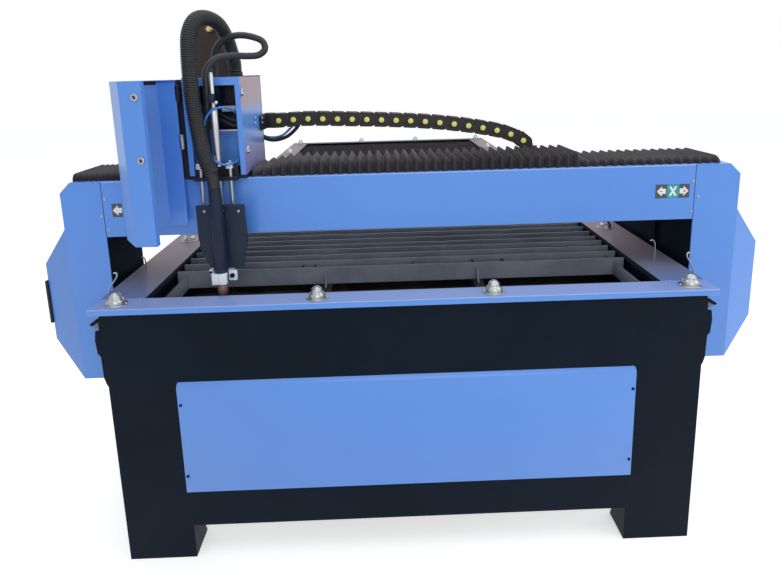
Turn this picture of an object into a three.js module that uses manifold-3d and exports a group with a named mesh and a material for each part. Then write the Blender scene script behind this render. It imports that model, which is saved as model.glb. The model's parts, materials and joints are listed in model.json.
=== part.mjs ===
// CNC plasma cutting table with a travelling gantry and a lifting torch head.
// Millimetres, +Z up, +X to the right seen from the front, +Y towards the back.
// Lengths along Y are counted from the front edge of the table, and X from its middle;
// the finished group is then moved so that its origin is the bottom centre of its box.
import * as THREE from 'three';
import { mergeVertices } from 'three/addons/utils/BufferGeometryUtils.js';
import Module from 'manifold-3d';

const wasm = await Module();
wasm.setup();

// ---------------------------------------------------------------- sizes: general
const gap = 0.3; // between pieces that touch
const sheet = 3; // folded blue sheet
const bite = 1; // how far joined forms run into each other
const roundSides = 16; // facets round a bar or a torch
const turnedSides = 14; // facets round discs, cylinders and the nozzle
const thinSides = 12; // facets round rods, pins and their holes
const domeSides = 9; // facets round the side and rear transfer balls

// ---------------------------------------------------------------- sizes: bed
const tableWidth = 1650;
const tableLength = 3000;
const workHeight = 765;
const lipHeight = 17;
const frontRailDepth = 62;
const sideRailWidth = 123;
const legWidth = 187;
const legSetback = 12;
const legFootDepth = 83;
const legFootRise = 91;
const legWall = 6;
const footPlate = 8;
const panelBottom = 103;
const panelReturn = 40;
const panelWall = 4;
const namePanelLap = 2.3; // how far the name panel reaches over each leg's edge
const namePanelTop = workHeight - 213;
const namePanelHeight = 329;
const namePanelDepth = 8;
const namePanelCorner = 12;
const beamOuterX = tableWidth / 2 - 25;
const beamWidth = 94;
const beamHeight = 180;
const beamWall = 5;
const legOuterX = beamOuterX - gap;
const middleLegWidth = 100;
const stripThickness = 12;
const stripBottom = workHeight - 120;
const stripTop = workHeight - 20;
const stripInset = 30;

// ---------------------------------------------------------------- sizes: transfer balls
const ballRadius = 14;
const ballSeat = 0.9;
const ballRise = 20; // centre of the ball above the frame
const cupHeight = 22;
const cupRadius = 22;
const cupFlangeRadius = 31;
const cupFlange = 4;
const ballInset = 30;
const cornerBallX = tableWidth / 2 - 62;
const middleBallX = 235;
const sideBallCount = 5;
const ballStacks = 8;
const socketSteps = [[13, 7.6], [8.4, 12.5], [0, 14.8]]; // radius, and depth under the ball's centre
const cupShoulder = 4;
const domeShares = [0.2, 0.6]; // where the dome's facets meet, as shares of a quarter turn

// ---------------------------------------------------------------- sizes: slat bed
const slatTop = workHeight - 8;
const slatHeight = 55;
const slatThickness = 5;
const slatPitch = 50;
const firstSlatY = 256;
const slatEndRoom = 140; // least room behind the last slat
const slatCount = Math.floor((tableLength - firstSlatY - slatEndRoom) / slatPitch) + 1;
const combInset = 4;
const combThickness = 8;
const bearerX = 235;
const bearerWidth = 30;
const bearerHeight = 42;
const crossWidth = 40;
const crossHeight = 60;
const crossDrop = 20;
const crossCount = 4;
const crossInset = 400;

// ---------------------------------------------------------------- sizes: guides, racks and pinions
const guideWidth = 20;
const guideHeight = 17.5;
const guideWaist = [6, 8, 12, 14]; // heights where the waist narrows and widens again
const guideWaistDepth = 3;
const guideCrown = 2;
const guideInset = 30;
const yGuideZ = workHeight - 55;
const rackWidth = 16;
const rackHeight = 20;
const rackTopZ = workHeight - 89;
const rackInset = 130;
const pinionTeeth = 20;
const pinionTip = 22;
const pinionRoot = 17.5;
const pinionWidth = 15;
const pinionRun = 0.5;
const pinionShaft = 7;
const toothShares = [0.3, 0.55, 0.85]; // of one tooth's pitch: crest's start, crest's end, foot

// ---------------------------------------------------------------- sizes: gantry
const gantryFrontY = 160;
const gantryDepth = 185;
const gantryInnerX = tableWidth / 2 + 20;
const coverBottom = workHeight + 142;
const coverTop = workHeight + 303;
const coverSheet = 2.5;
const coverTopReturn = 26;
const coverHem = 28;
const beamFrontY = 190;
const beamDepth = 130;
const gantryBeamBottom = workHeight + 160;
const gantryBeamTop = workHeight + 280;
const gantryBeamWall = 6;
const endBandX = gantryInnerX + 122;
const endBulgeX = gantryInnerX + 212;
const endShoulderX = gantryInnerX + 92;
const endOffset = 7; // both end covers stand this far to the right of their even place
const endShoulderZ = workHeight + 273;
const endNeckZ = workHeight + 168;
const endBulgeTopZ = workHeight + 56;
const endBulgeBottomZ = workHeight - 181;
const endBottomZ = workHeight - 296;
const endBulgeSetback = 32;
const uprightThickness = 8;
const uprightBottom = workHeight - 285;
const uprightTop = workHeight + 275;
const uprightChamfer = 40;
const tailEnd = 620; // rear end of the right upright's chain bracket
const tailBottom = workHeight - 75;
const tailTop = workHeight + 120;
const tailCorner = 50;
const tailStart = 331;
const blockLength = 60;
const blockWidth = 44;
const blockCap = 15;
const blockInset = 12;
const motorSide = 86;
const motorFlange = 10;
const motorLength = 105;
const motorBody = 80;
const motorCorner = 13;
const ventThickness = 8;
const ventDepth = 105;
const ventBottom = workHeight - 110;
const ventTop = workHeight + 5;
const ventSlots = 6;
const ventSlotHeight = 8;

// ---------------------------------------------------------------- sizes: X guides and bellows
const xGuideFrontY = 205;
const xGuideRearY = 305;
const xGuideHalf = gantryInnerX - 15;
const xRackY = 233;
const xRackWidth = 14;
const bellowsFrontY = 168;
const bellowsRearY = 335;
const bellowsBase = coverTop + gap;
const bellowsTop = bellowsBase + 44;
const bellowsLowTop = bellowsBase + 22;
const bellowsFold = 14;
const bellowsWall = 2;
const bellowsPitch = 27.2;
const bellowsShortPitch = 16;
const bellowsEndX = gantryInnerX + 85;
const bellowsSagLength = 110;
const bellowsLowFromX = 524;

// ---------------------------------------------------------------- sizes: carriage and torch head
const headX = 318 - tableWidth / 2;
const carriageBottom = coverTop + 2.5;
const carriageThickness = 10;
const carriageTongueFront = 115;
const carriageTongueLeft = headX - 58;
const carriageTongueRight = headX + 58;
const carriageLeft = headX - 94;
const riserFront = 131;
const riserTop = workHeight + 343;
const headWidth = 154;
const headFrontY = 140;
const headDepth = 220;
const headBottom = carriageBottom + carriageThickness + 0.5;
const headTop = workHeight + 584;
const headSheet = 2.5;
const headPost = 14;
const headBar = 22;
const innerPanelY = 181;
const innerPanelBottom = workHeight + 333;
const innerPanelTop = workHeight + 437;
const hingePostWidth = 16;
const hingePostDepth = 6;
const hingePostY = 143;
const hingePostTop = workHeight + 580;
const backPlate = 6;
const hoseBracketLeft = headX - 125;
const hoseBracketRight = headX + 7;
const hoseBracketTop = workHeight + 750;
const hoseBracketCorner = 20;
const hoseBracketSlope = 46; // the larger cut at its upper right corner
const xBlockWidth = 36;
const xBlockLength = 50;
const xMotorSide = 57;
const xMotorHeight = 100;
const zMotorX = headX;
const zMotorY = 150;
const zMotorSide = 42;
const zMotorBottom = workHeight + 497;
const zMotorHeight = 64;
const screwRadius = 5;
const screwRun = 0.4;
const screwBottom = workHeight + 135;
const rodSpacing = 80;
const rodY = 122;
const rodRadius = 5;
const rodBottom = workHeight + 117;
const rodTop = workHeight + 361;
const rodBlock = 20;
const rodBlockBottom = workHeight + 336;
const rodBlockTop = workHeight + 357;
const rodBlockFront = 111;
const cylinderX = headX + 14;
const cylinderY = 108;
const cylinderRadius = 8;
const cylinderTop = workHeight + 500;
const cylinderRodRadius = 4;
const cylinderCap = 10;
const cylinderCapRadius = 9;
const cylinderRodTop = workHeight + 597;
const cylinderLugZ = workHeight + 339;
const cylinderLugHeight = 8;
const rodWeb = 7;

// ---------------------------------------------------------------- sizes: slide, torch and hoses
const slideFrontY = 97;
const slideThickness = 12;
const slideTop = workHeight + 241;
const slideBottom = workHeight + 64;
const slideTopLeft = headX - 53;
const slideTopRight = headX + 75;
const slideWaistLeft = headX - 50;
const slideWaistRight = headX + 78;
const slideWaistLeftZ = workHeight + 119;
const slideWaistRightZ = workHeight + 141;
const slideBottomLeft = headX - 25;
const slideBottomRight = headX + 62;
const bushBottom = workHeight + 140;
const bushTop = workHeight + 210;
const bushWidth = 34;
const bushBack = 140;
const nutBottom = workHeight + 165;
const nutTop = workHeight + 195;
const nutWidth = 34;
const nutBack = 157;
const torchX = headX + 10;
const torchY = 76;
const torchRadius = 19;
const torchTop = workHeight + 295;
const torchHeadRadius = 12;
const clampLeft = torchX - 25;
const clampRight = torchX + 14;
const clampBottom = workHeight + 32;
const clampTop = workHeight + 63;
const clampFront = 57;
const clampEarRight = torchX + 40;
const clampEarBottom = workHeight + 36;
const clampEarFront = 77;
const clampEarHole = 5;
const clampHornLeft = torchX - 33;
const clampHornRight = torchX - 21;
const clampHornBottom = workHeight + 55;
const clampHornTop = workHeight + 69;
const clampHornFront = 75;
const torchBottom = slideBottom + gap;
const torchShoulder = torchBottom + 7;
const padTop = slideTop - 20;
const padBottom = slideTop - 50;
const nozzleTop = clampBottom - gap;
const nozzleTip = workHeight - 1;
const nozzleRadius = 14;
const nozzleTipRadius = 12;
const nozzleTaper = 5;
const hoseRadius = 20;
const hoseBore = 14;
const hoseRib = 2;
const hoseRibs = 96;
const hoseBorePerRibs = 5;
const hoseGland = 14;
const hoseEndX = headX + 23;
const hoseEndY = 292;
const hoseSteps = 600; // fineness of the hose's length table
const leadRadius = 9;
const leadSteps = 44;

// ---------------------------------------------------------------- sizes: torch head door
const hingeX = headX - 87;
const hingeY = 133;
const hingeBarrel = 5;
const hingePin = 2.5;
const hingeLow = workHeight + 393;
const hingeHigh = workHeight + 525;
const hingeLength = 40;
const hingeArm = 9;
const doorOpenAngle = 94;
const doorWidth = 172;
const doorSide = 57;
const doorSlope = 54;
const doorLatchSide = 54;
const doorLip = 16;
const doorOffset = 4; // outer face of the hinged side beyond the hinge axis
const doorStart = 6;
const doorSheet = 2;
const doorBottom = workHeight + 177;
const doorTop = workHeight + 580;
const doorCap = 18;
const latchZ = [workHeight + 392, workHeight + 542];
const latchFromEdge = 16;
const latchRadius = 11;
const latchDisc = 4;
const latchGrip = 20;
const latchGripHeight = 7;
const latchShaft = 5;
const latchArm = 36;
const latchArmWidth = 12;
const latchArmThickness = 3;

// ---------------------------------------------------------------- sizes: cable chains
const linkSide = 50;
const linkFull = 0.8; // share of a link at full section
const linkNeck = 4;
const linkEdge = 0.02; // share of a link in which its section steps
const circleHandle = 0.5523; // length of a quarter turn's handles as a share of its radius
const xChainY = 413;
const xChainStartZ = workHeight + 439;
const xChainLowZ = workHeight + 255;
const xChainEnd = 60;
const xTrayFrom = xChainEnd - 120;
const xTrayWall = 4;
const xTrayRim = 16;
const xChainLink = 46.8;
const yChainX = gantryInnerX + 42;
const yChainLink = 60;
const yChainTop = workHeight + 5;
const yChainBend = 165;
const yChainBack = tableLength / 2 + 60;
const yChainTail = 60;
const trayWall = 3;
const trayClear = 4;
const trayRise = 40;
const trayFront = tableLength / 2 - 70;
const trayBack = tableLength - 35;
const trayArm = 20;

// ---------------------------------------------------------------- values worked out from the sizes
const halfWidth = tableWidth / 2;
const innerHalf = halfWidth - sideRailWidth;
const underRail = workHeight - sheet - gap;
const railEndY = frontRailDepth + gap;
const legInnerX = legOuterX - legWidth;
const stripX = beamOuterX + stripThickness;
const guideX = stripX + gap;
const guideTopX = guideX + guideHeight;
const pinionZ = rackTopZ - rackHeight - pinionRun - pinionTip;
const gantryRearY = gantryFrontY + gantryDepth;
const gantryMiddleY = gantryFrontY + gantryDepth / 2;
const xGuideZ = gantryBeamTop + gap;
const xGuideTop = xGuideZ + guideHeight;
const xPinionY = xRackY + xRackWidth / 2 + pinionRun + pinionTip;
const headLeft = headX - headWidth / 2;
const headRight = headX + headWidth / 2;
const headRear = headFrontY + headDepth;
const carriageTop = carriageBottom + carriageThickness;
const leftRodX = headX - rodSpacing / 2;
const rightRodX = headX + rodSpacing / 2;
const bellowsMeetLeft = carriageLeft - gap;
const bellowsMeetRight = headRight + gap;

// ---------------------------------------------------------------- colours
const bluePaint = { color: 0x5b8fe6, roughness: 0.32, metalness: 0.1 };
const blackPaint = { color: 0x141b28, roughness: 0.45, metalness: 0.1 };
const blackPlastic = { color: 0x34322f, roughness: 0.6, metalness: 0 };
const bellowsCloth = { color: 0x3a3838, roughness: 0.8, metalness: 0 };
const steel = { color: 0x9fa5ac, roughness: 0.3, metalness: 0.9 };
const slatSteel = { color: 0x4a525e, roughness: 0.5, metalness: 0.6 };
const zinc = { color: 0xd7dadd, roughness: 0.2, metalness: 1 };
const whiteBlock = { color: 0xe6e8ee, roughness: 0.45, metalness: 0.1 };
const copper = { color: 0x9a6d50, roughness: 0.35, metalness: 0.9 };
const rubber = { color: 0x24282a, roughness: 0.6, metalness: 0 };

// ---------------------------------------------------------------- making solids
const layAlongX = new THREE.Matrix4().makeBasis(
  new THREE.Vector3(0, 1, 0), new THREE.Vector3(0, 0, 1), new THREE.Vector3(1, 0, 0));
const layAlongY = new THREE.Matrix4().makeBasis(
  new THREE.Vector3(1, 0, 0), new THREE.Vector3(0, 0, 1), new THREE.Vector3(0, -1, 0));

function solidOf(geometry) {
  const bare = geometry.clone();
  bare.deleteAttribute('normal');
  bare.deleteAttribute('uv');
  const joined = mergeVertices(bare);
  const solid = new wasm.Manifold(new wasm.Mesh({
    numProp: 3,
    vertProperties: Float32Array.from(joined.attributes.position.array),
    triVerts: Uint32Array.from(joined.index.array),
  }));
  return solid;
}

function geometryOf(solid) {
  const mesh = solid.getMesh();
  const geometry = new THREE.BufferGeometry();
  geometry.setAttribute('position', new THREE.BufferAttribute(mesh.vertProperties, 3));
  geometry.setIndex(new THREE.BufferAttribute(mesh.triVerts, 1));
  geometry.computeVertexNormals();
  return geometry;
}

// An outline extruded along an axis. It is given in (y, z) along x, (x, z) along y, (x, y) along z.
function prism(outline, axis, from, to) {
  const shape = new THREE.Shape(outline.map(([across, up]) => new THREE.Vector2(across, up)));
  const geometry = new THREE.ExtrudeGeometry(shape, { depth: to - from, bevelEnabled: false });
  if (axis === 'x') geometry.applyMatrix4(layAlongX).translate(from, 0, 0);
  if (axis === 'y') geometry.applyMatrix4(layAlongY).translate(0, to, 0);
  if (axis === 'z') geometry.translate(0, 0, from);
  return solidOf(geometry);
}

function box(x0, x1, y0, y1, z0, z1) {
  const geometry = new THREE.BoxGeometry(x1 - x0, y1 - y0, z1 - z0);
  geometry.translate((x0 + x1) / 2, (y0 + y1) / 2, (z0 + z1) / 2);
  return solidOf(geometry);
}

// A round bar along an axis; place holds its two other coordinates in x, y, z order.
function bar(axis, radius, place, from, to, sides = roundSides) {
  const geometry = new THREE.CylinderGeometry(radius, radius, to - from, sides);
  const middle = (from + to) / 2;
  if (axis === 'x') geometry.rotateZ(Math.PI / 2).translate(middle, place[0], place[1]);
  if (axis === 'y') geometry.translate(place[0], middle, place[1]);
  if (axis === 'z') geometry.rotateX(Math.PI / 2).translate(place[0], place[1], middle);
  return solidOf(geometry);
}

// A turned form about a vertical axis; the profile runs (radius, height) up its outside.
function turned(profile, sides, x, y, z) {
  const points = profile.map(([radius, height]) => new THREE.Vector2(radius, height));
  const geometry = new THREE.LatheGeometry(points, sides);
  geometry.rotateX(Math.PI / 2).translate(x, y, z);
  return solidOf(geometry);
}

function join(...solids) {
  return solids.reduce((whole, piece) => whole.add(piece));
}

function mirrorX(outline) {
  return outline.map(([across, up]) => [-across, up]);
}

function mirrorLength(outline) {
  return outline.map(([along, up]) => [tableLength - along, up]);
}

// The band between a bent line and its parallel at a distance, on the line's left side.
function foldedBand(line, thickness) {
  const inner = line.map((point, i) => {
    const before = line[Math.max(i - 1, 0)];
    const after = line[Math.min(i + 1, line.length - 1)];
    const normals = [];
    if (i > 0) normals.push(leftNormal(before, point));
    if (i < line.length - 1) normals.push(leftNormal(point, after));
    const sumX = normals.reduce((sum, normal) => sum + normal[0], 0);
    const sumY = normals.reduce((sum, normal) => sum + normal[1], 0);
    const length = Math.hypot(sumX, sumY);
    const facing = (sumX * normals[0][0] + sumY * normals[0][1]) / length;
    const reach = thickness / facing;
    return [point[0] + (sumX / length) * reach, point[1] + (sumY / length) * reach];
  });
  return [...line, ...inner.reverse()];
}

function leftNormal([x0, y0], [x1, y1]) {
  const length = Math.hypot(x1 - x0, y1 - y0);
  return [-(y1 - y0) / length, (x1 - x0) / length];
}

// A closed skin through rings of equal point count, with flat ends.
function loft(rings, section) {
  const count = rings[0].length;
  const positions = rings.flat().flatMap((point) => [point.x, point.y, point.z]);
  const index = [];
  for (let ring = 0; ring < rings.length - 1; ring += 1) {
    for (let i = 0; i < count; i += 1) {
      const a = ring * count + i;
      const b = ring * count + ((i + 1) % count);
      index.push(a, b, b + count, a, b + count, a + count);
    }
  }
  const last = (rings.length - 1) * count;
  const caps = THREE.ShapeUtils.triangulateShape(section, []);
  for (const [a, b, c] of caps) {
    index.push(c, b, a);
    index.push(last + a, last + b, last + c);
  }
  const geometry = new THREE.BufferGeometry();
  geometry.setAttribute('position', new THREE.Float32BufferAttribute(positions, 3));
  geometry.setIndex(index);
  geometry.computeVertexNormals();
  return geometry;
}

// ---------------------------------------------------------------- the group
const machine = new THREE.Group();
machine.name = 'plasma_cutter';

function part(name, solid, look) {
  const geometry = solid.isBufferGeometry ? solid : geometryOf(solid);
  const mesh = new THREE.Mesh(geometry, new THREE.MeshStandardMaterial(look));
  mesh.name = name;
  machine.add(mesh);
  return mesh;
}

// ---------------------------------------------------------------- legs
function legShell(left, right, mirrored) {
  const side = [
    [legSetback, 0], [legSetback + legFootDepth, 0], [frontRailDepth, legFootRise],
    [frontRailDepth, underRail], [legSetback, underRail],
  ];
  const hollow = [
    [legSetback + legWall, footPlate], [tableLength / 2, footPlate],
    [tableLength / 2, workHeight], [legSetback + legWall, workHeight],
  ];
  const place = mirrored ? mirrorLength : (outline) => outline;
  const outer = prism(place(side), 'x', left, right);
  return outer.subtract(prism(place(hollow), 'x', left + legWall, right - legWall));
}
part('front_left_leg', legShell(-legOuterX, -legInnerX, false), blackPaint);
part('front_right_leg', legShell(legInnerX, legOuterX, false), blackPaint);
part('rear_left_leg', legShell(-legOuterX, -legInnerX, true), blackPaint);
part('rear_right_leg', legShell(legInnerX, legOuterX, true), blackPaint);

// ---------------------------------------------------------------- end panels
const panelLine = [
  [legSetback + panelReturn, underRail], [legSetback, underRail],
  [legSetback, panelBottom], [legSetback + panelReturn, panelBottom],
];
const panelSection = foldedBand(panelLine, panelWall);
const panelHalf = legInnerX - gap;
part('front_panel', prism(panelSection, 'x', -panelHalf, panelHalf), blackPaint);
part('rear_panel', prism(mirrorLength(panelSection), 'x', -panelHalf, panelHalf), blackPaint);

function namePanelOutline(inset) {
  const half = legInnerX + namePanelLap - inset;
  const bottom = namePanelTop - namePanelHeight + inset;
  const top = namePanelTop - inset;
  return [
    [-half, bottom], [half, bottom], [half, top - namePanelCorner],
    [half - namePanelCorner, top], [-half + namePanelCorner, top], [-half, top - namePanelCorner],
  ];
}
const namePanelBack = legSetback - gap;
const namePanelFront = namePanelBack - namePanelDepth;
const namePanel = prism(namePanelOutline(0), 'y', namePanelFront, namePanelBack)
  .subtract(prism(namePanelOutline(sheet), 'y', namePanelFront + sheet, namePanelBack + bite));
part('name_panel', namePanel, bluePaint);

// ---------------------------------------------------------------- side beams with a middle leg
function sideBeam(side) {
  const place = side > 0 ? (outline) => outline : mirrorX;
  const low = underRail - beamHeight;
  const rectangle = (x0, x1, z0, z1) => place([[x0, z0], [x1, z0], [x1, z1], [x0, z1]]);
  const inner = beamOuterX - beamWidth;
  const tube = prism(rectangle(inner, beamOuterX, low, underRail), 'y', railEndY, tableLength - railEndY);
  const bore = rectangle(inner + beamWall, beamOuterX - beamWall, low + beamWall, underRail - beamWall);
  const hollow = prism(bore, 'y', 0, tableLength);
  const strip = prism(rectangle(beamOuterX, stripX, stripBottom, stripTop),
    'y', stripInset, tableLength - stripInset);
  const middle = tableLength / 2;
  const legY0 = middle - middleLegWidth / 2;
  const legY1 = middle + middleLegWidth / 2;
  const leg = prism(rectangle(inner, beamOuterX, 0, low + bite), 'y', legY0, legY1);
  const legHollow = prism(rectangle(0, beamOuterX - legWall, footPlate, low),
    'y', legY0 + legWall, legY1 - legWall);
  return join(tube.subtract(hollow), strip, leg.subtract(legHollow));
}
part('left_side_beam', sideBeam(-1), blackPaint);
part('right_side_beam', sideBeam(1), blackPaint);

// ---------------------------------------------------------------- transfer ball cups
const cupOutside = [
  [0, -bite], [cupFlangeRadius, -bite], [cupFlangeRadius, cupFlange], [cupRadius, cupFlange + bite],
  [cupRadius, cupHeight / 2], [cupRadius - cupShoulder, cupHeight],
];
const cupProfile = [
  ...cupOutside, [ballRadius + ballSeat, cupHeight], [ballRadius + ballSeat, ballRise - sheet],
  ...socketSteps.map(([radius, depth]) => [radius, ballRise - depth]),
];
const domeBulge = domeShares.map((share) => {
  const angle = share * Math.PI / 2;
  return [ballRadius * Math.cos(angle), ballRise + ballRadius * Math.sin(angle)];
});
const domeProfile = [
  ...cupOutside, [domeBulge[0][0], cupHeight], domeBulge[1], [0, ballRise + ballRadius],
];
const cup = (x, y) => turned(cupProfile, thinSides, x, y, workHeight);
const dome = (x, y) => turned(domeProfile, domeSides, x, y, workHeight);
const rowX = [-cornerBallX, -middleBallX, middleBallX, cornerBallX];
const sideRowY = Array.from({ length: sideBallCount }, (_, i) => {
  const pitch = (tableLength - 2 * ballInset) / (sideBallCount + 1);
  return ballInset + pitch * (i + 1);
});

// ---------------------------------------------------------------- top frame
const frontRailSection = [
  [0, workHeight - lipHeight], [sheet, workHeight - lipHeight], [sheet, workHeight - sheet],
  [frontRailDepth, workHeight - sheet], [frontRailDepth, workHeight], [0, workHeight],
];
const sideRailSection = [
  [innerHalf, workHeight - lipHeight], [innerHalf + sheet, workHeight - lipHeight],
  [innerHalf + sheet, workHeight - sheet], [halfWidth - sheet, workHeight - sheet],
  [halfWidth - sheet, workHeight - lipHeight], [halfWidth, workHeight - lipHeight],
  [halfWidth, workHeight], [innerHalf, workHeight],
];
const frontRail = prism(frontRailSection, 'x', -halfWidth, halfWidth);
part('front_rail', join(frontRail, ...rowX.map((x) => cup(x, ballInset))), bluePaint);
const rearRail = prism(mirrorLength(frontRailSection), 'x', -halfWidth, halfWidth);
part('rear_rail', join(rearRail, ...rowX.map((x) => dome(x, tableLength - ballInset))), bluePaint);
const rightRail = prism(sideRailSection, 'y', railEndY, tableLength - railEndY);
part('right_rail', join(rightRail, ...sideRowY.map((y) => dome(cornerBallX, y))), bluePaint);
const leftRail = prism(mirrorX(sideRailSection), 'y', railEndY, tableLength - railEndY);
part('left_rail', join(leftRail, ...sideRowY.map((y) => dome(-cornerBallX, y))), bluePaint);
rowX.forEach((x, i) => {
  const ball = new THREE.SphereGeometry(ballRadius, thinSides, ballStacks);
  ball.rotateX(Math.PI / 2).translate(x, ballInset, workHeight + ballRise);
  part(`transfer_ball_${i + 1}`, solidOf(ball), zinc);
});

// ---------------------------------------------------------------- slat bed on its support frame
const combHalf = innerHalf - combInset;
const slatInner = combHalf - combThickness;
const slatPlan = new THREE.Shape([
  new THREE.Vector2(-combHalf, railEndY), new THREE.Vector2(combHalf, railEndY),
  new THREE.Vector2(combHalf, tableLength - railEndY), new THREE.Vector2(-combHalf, tableLength - railEndY),
]);
function planHole(y0, y1) {
  return new THREE.Path([
    new THREE.Vector2(-slatInner, y0), new THREE.Vector2(-slatInner, y1),
    new THREE.Vector2(slatInner, y1), new THREE.Vector2(slatInner, y0),
  ]);
}
const lastSlatY = firstSlatY + slatPitch * (slatCount - 1);
for (let i = 0; i < slatCount - 1; i += 1) {
  const y = firstSlatY + slatPitch * i;
  slatPlan.holes.push(planHole(y + slatThickness, y + slatPitch));
}
const frontNotch = box(-slatInner, slatInner, 0, firstSlatY, 0, workHeight);
const rearNotch = box(-slatInner, slatInner, lastSlatY + slatThickness, tableLength, 0, workHeight);
const slatGrid = new THREE.ExtrudeGeometry(slatPlan, { depth: slatHeight, bevelEnabled: false });
slatGrid.translate(0, 0, slatTop - slatHeight);
part('slat_bed', solidOf(slatGrid).subtract(frontNotch).subtract(rearNotch), slatSteel);

function supportFrame() {
  const top = slatTop - slatHeight - gap;
  const bearerBottom = top - bearerHeight;
  const bearers = [-bearerX, bearerX].map((x) => box(
    x - bearerWidth / 2, x + bearerWidth / 2, railEndY, tableLength - railEndY, bearerBottom, top));
  const reach = beamOuterX - beamWidth - gap;
  const pitch = (tableLength - 2 * crossInset) / (crossCount - 1);
  const crossTop = top - crossDrop;
  const crosses = Array.from({ length: crossCount }, (_, i) => {
    const y = crossInset + pitch * i;
    return box(-reach, reach, y - crossWidth / 2, y + crossWidth / 2, crossTop - crossHeight, crossTop);
  });
  const low = crossTop - crossHeight;
  const floor = box(-reach, reach, railEndY, tableLength - railEndY, low - sheet, low + bite);
  return join(...bearers, ...crosses, floor);
}
part('slat_support', supportFrame(), blackPaint);

// ---------------------------------------------------------------- guide rails and racks
// A guide rail's section: it stands on its base with a waist for the balls to run in.
function guideOutline() {
  const half = guideWidth / 2;
  const waist = half - guideWaistDepth;
  const [narrows, narrow, widens, wide] = guideWaist;
  const right = [
    [0, half], [narrows, half], [narrow, waist], [widens, waist], [wide, half],
    [guideHeight, half - guideCrown],
  ];
  const left = right.map(([up, across]) => [up, -across]).reverse();
  return [...left, ...right];
}
const yGuideSection = guideOutline().map(([up, across]) => [guideX + up, yGuideZ + across]);
const guideEndY = tableLength - guideInset;
part('y_guide_right', prism(yGuideSection, 'y', guideInset, guideEndY), steel);
part('y_guide_left', prism(mirrorX(yGuideSection), 'y', guideInset, guideEndY), steel);
const rackSection = [
  [guideX, rackTopZ - rackHeight], [guideX + rackWidth, rackTopZ - rackHeight],
  [guideX + rackWidth, rackTopZ - 2], [guideX + rackWidth - 2, rackTopZ], [guideX, rackTopZ],
];
const rackEndY = tableLength - rackInset;
part('y_rack_right', prism(rackSection, 'y', rackInset, rackEndY), steel);
part('y_rack_left', prism(mirrorX(rackSection), 'y', rackInset, rackEndY), steel);

// A spur pinion's outline about its own centre.
function gearOutline() {
  const points = [];
  const step = (2 * Math.PI) / pinionTeeth;
  for (let tooth = 0; tooth < pinionTeeth; tooth += 1) {
    const start = tooth * step;
    const [rise, fall, foot] = toothShares.map((share) => start + step * share);
    points.push([pinionRoot, start], [pinionTip, rise], [pinionTip, fall], [pinionRoot, foot]);
  }
  return points.map(([radius, angle]) => [radius * Math.cos(angle), radius * Math.sin(angle)]);
}

// ---------------------------------------------------------------- gantry beam and X guides
const uprightX = gantryInnerX + uprightThickness;
const gantryBeamHalf = gantryInnerX - gap;
const beamRearY = beamFrontY + beamDepth;
const rackFrontY = xRackY - xRackWidth / 2;
const beamTube = box(-gantryBeamHalf, gantryBeamHalf, beamFrontY, beamRearY, gantryBeamBottom, gantryBeamTop)
  .subtract(box(-tableWidth, tableWidth, beamFrontY + gantryBeamWall, beamRearY - gantryBeamWall,
    gantryBeamBottom + gantryBeamWall, gantryBeamTop - gantryBeamWall));
const xRack = box(-xGuideHalf, xGuideHalf, rackFrontY, rackFrontY + xRackWidth,
  gantryBeamTop - bite, gantryBeamTop + rackHeight);
const xTrayTop = xChainLowZ - linkSide / 2 - gap;
const xTrayRear = xChainY + linkSide / 2 + gap + xTrayWall;
const xTray = prism([
  [beamRearY - bite, xTrayTop - xTrayWall], [xTrayRear, xTrayTop - xTrayWall],
  [xTrayRear, xTrayTop + xTrayRim], [xTrayRear - xTrayWall, xTrayTop + xTrayRim],
  [xTrayRear - xTrayWall, xTrayTop], [beamRearY - bite, xTrayTop],
], 'x', xTrayFrom, gantryBeamHalf);
part('gantry_beam', join(beamTube, xRack, xTray), blackPaint);
function xGuide(middleY) {
  const section = guideOutline().map(([up, across]) => [middleY + across, xGuideZ + up]);
  return prism(section, 'x', -xGuideHalf, xGuideHalf);
}
part('x_guide_front', xGuide(xGuideFrontY), steel);
part('x_guide_rear', xGuide(xGuideRearY), steel);

// ---------------------------------------------------------------- front cover, a folded sheet
const coverHemY = beamFrontY - gap;
const coverLine = [
  [gantryFrontY + coverTopReturn, coverTop], [gantryFrontY, coverTop], [gantryFrontY, coverBottom],
  [coverHemY, coverBottom], [coverHemY, coverBottom + coverHem],
];
part('gantry_front_cover',
  prism(foldedBand(coverLine, coverSheet), 'x', -gantryBeamHalf, gantryBeamHalf), bluePaint);

// ---------------------------------------------------------------- end covers
function endOutline(inset, offset) {
  const band = endBandX + offset;
  const bulge = endBulgeX + offset - inset;
  return [
    [gantryInnerX - inset * 2, coverTop - inset], [endShoulderX + offset - inset / 2, coverTop - inset],
    [band - inset, endShoulderZ - inset / 2], [band - inset, endNeckZ - inset / 2],
    [bulge, endBulgeTopZ - inset / 2], [bulge, endBulgeBottomZ + inset / 2],
    [band - inset / 2, endBottomZ + inset], [gantryInnerX - inset * 2, endBottomZ + inset],
  ];
}
function endPlan(inset, offset) {
  const front = gantryFrontY + inset;
  const rear = gantryRearY - inset;
  const tip = endBulgeX + offset - inset;
  const bend = endBandX + offset - inset / 2;
  return [
    [gantryInnerX - inset * 2, front], [bend, front], [tip, front + endBulgeSetback],
    [tip, rear - endBulgeSetback], [bend, rear], [gantryInnerX - inset * 2, rear],
  ];
}
function endCover(place, offset) {
  const body = (inset) => prism(place(endOutline(inset, offset)), 'y', 0, tableLength)
    .intersect(prism(place(endPlan(inset, offset)), 'z', 0, tableLength));
  return body(0).subtract(body(sheet));
}
part('right_end_cover', endCover((outline) => outline, endOffset), bluePaint);
part('left_end_cover', endCover(mirrorX, -endOffset), bluePaint);

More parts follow.
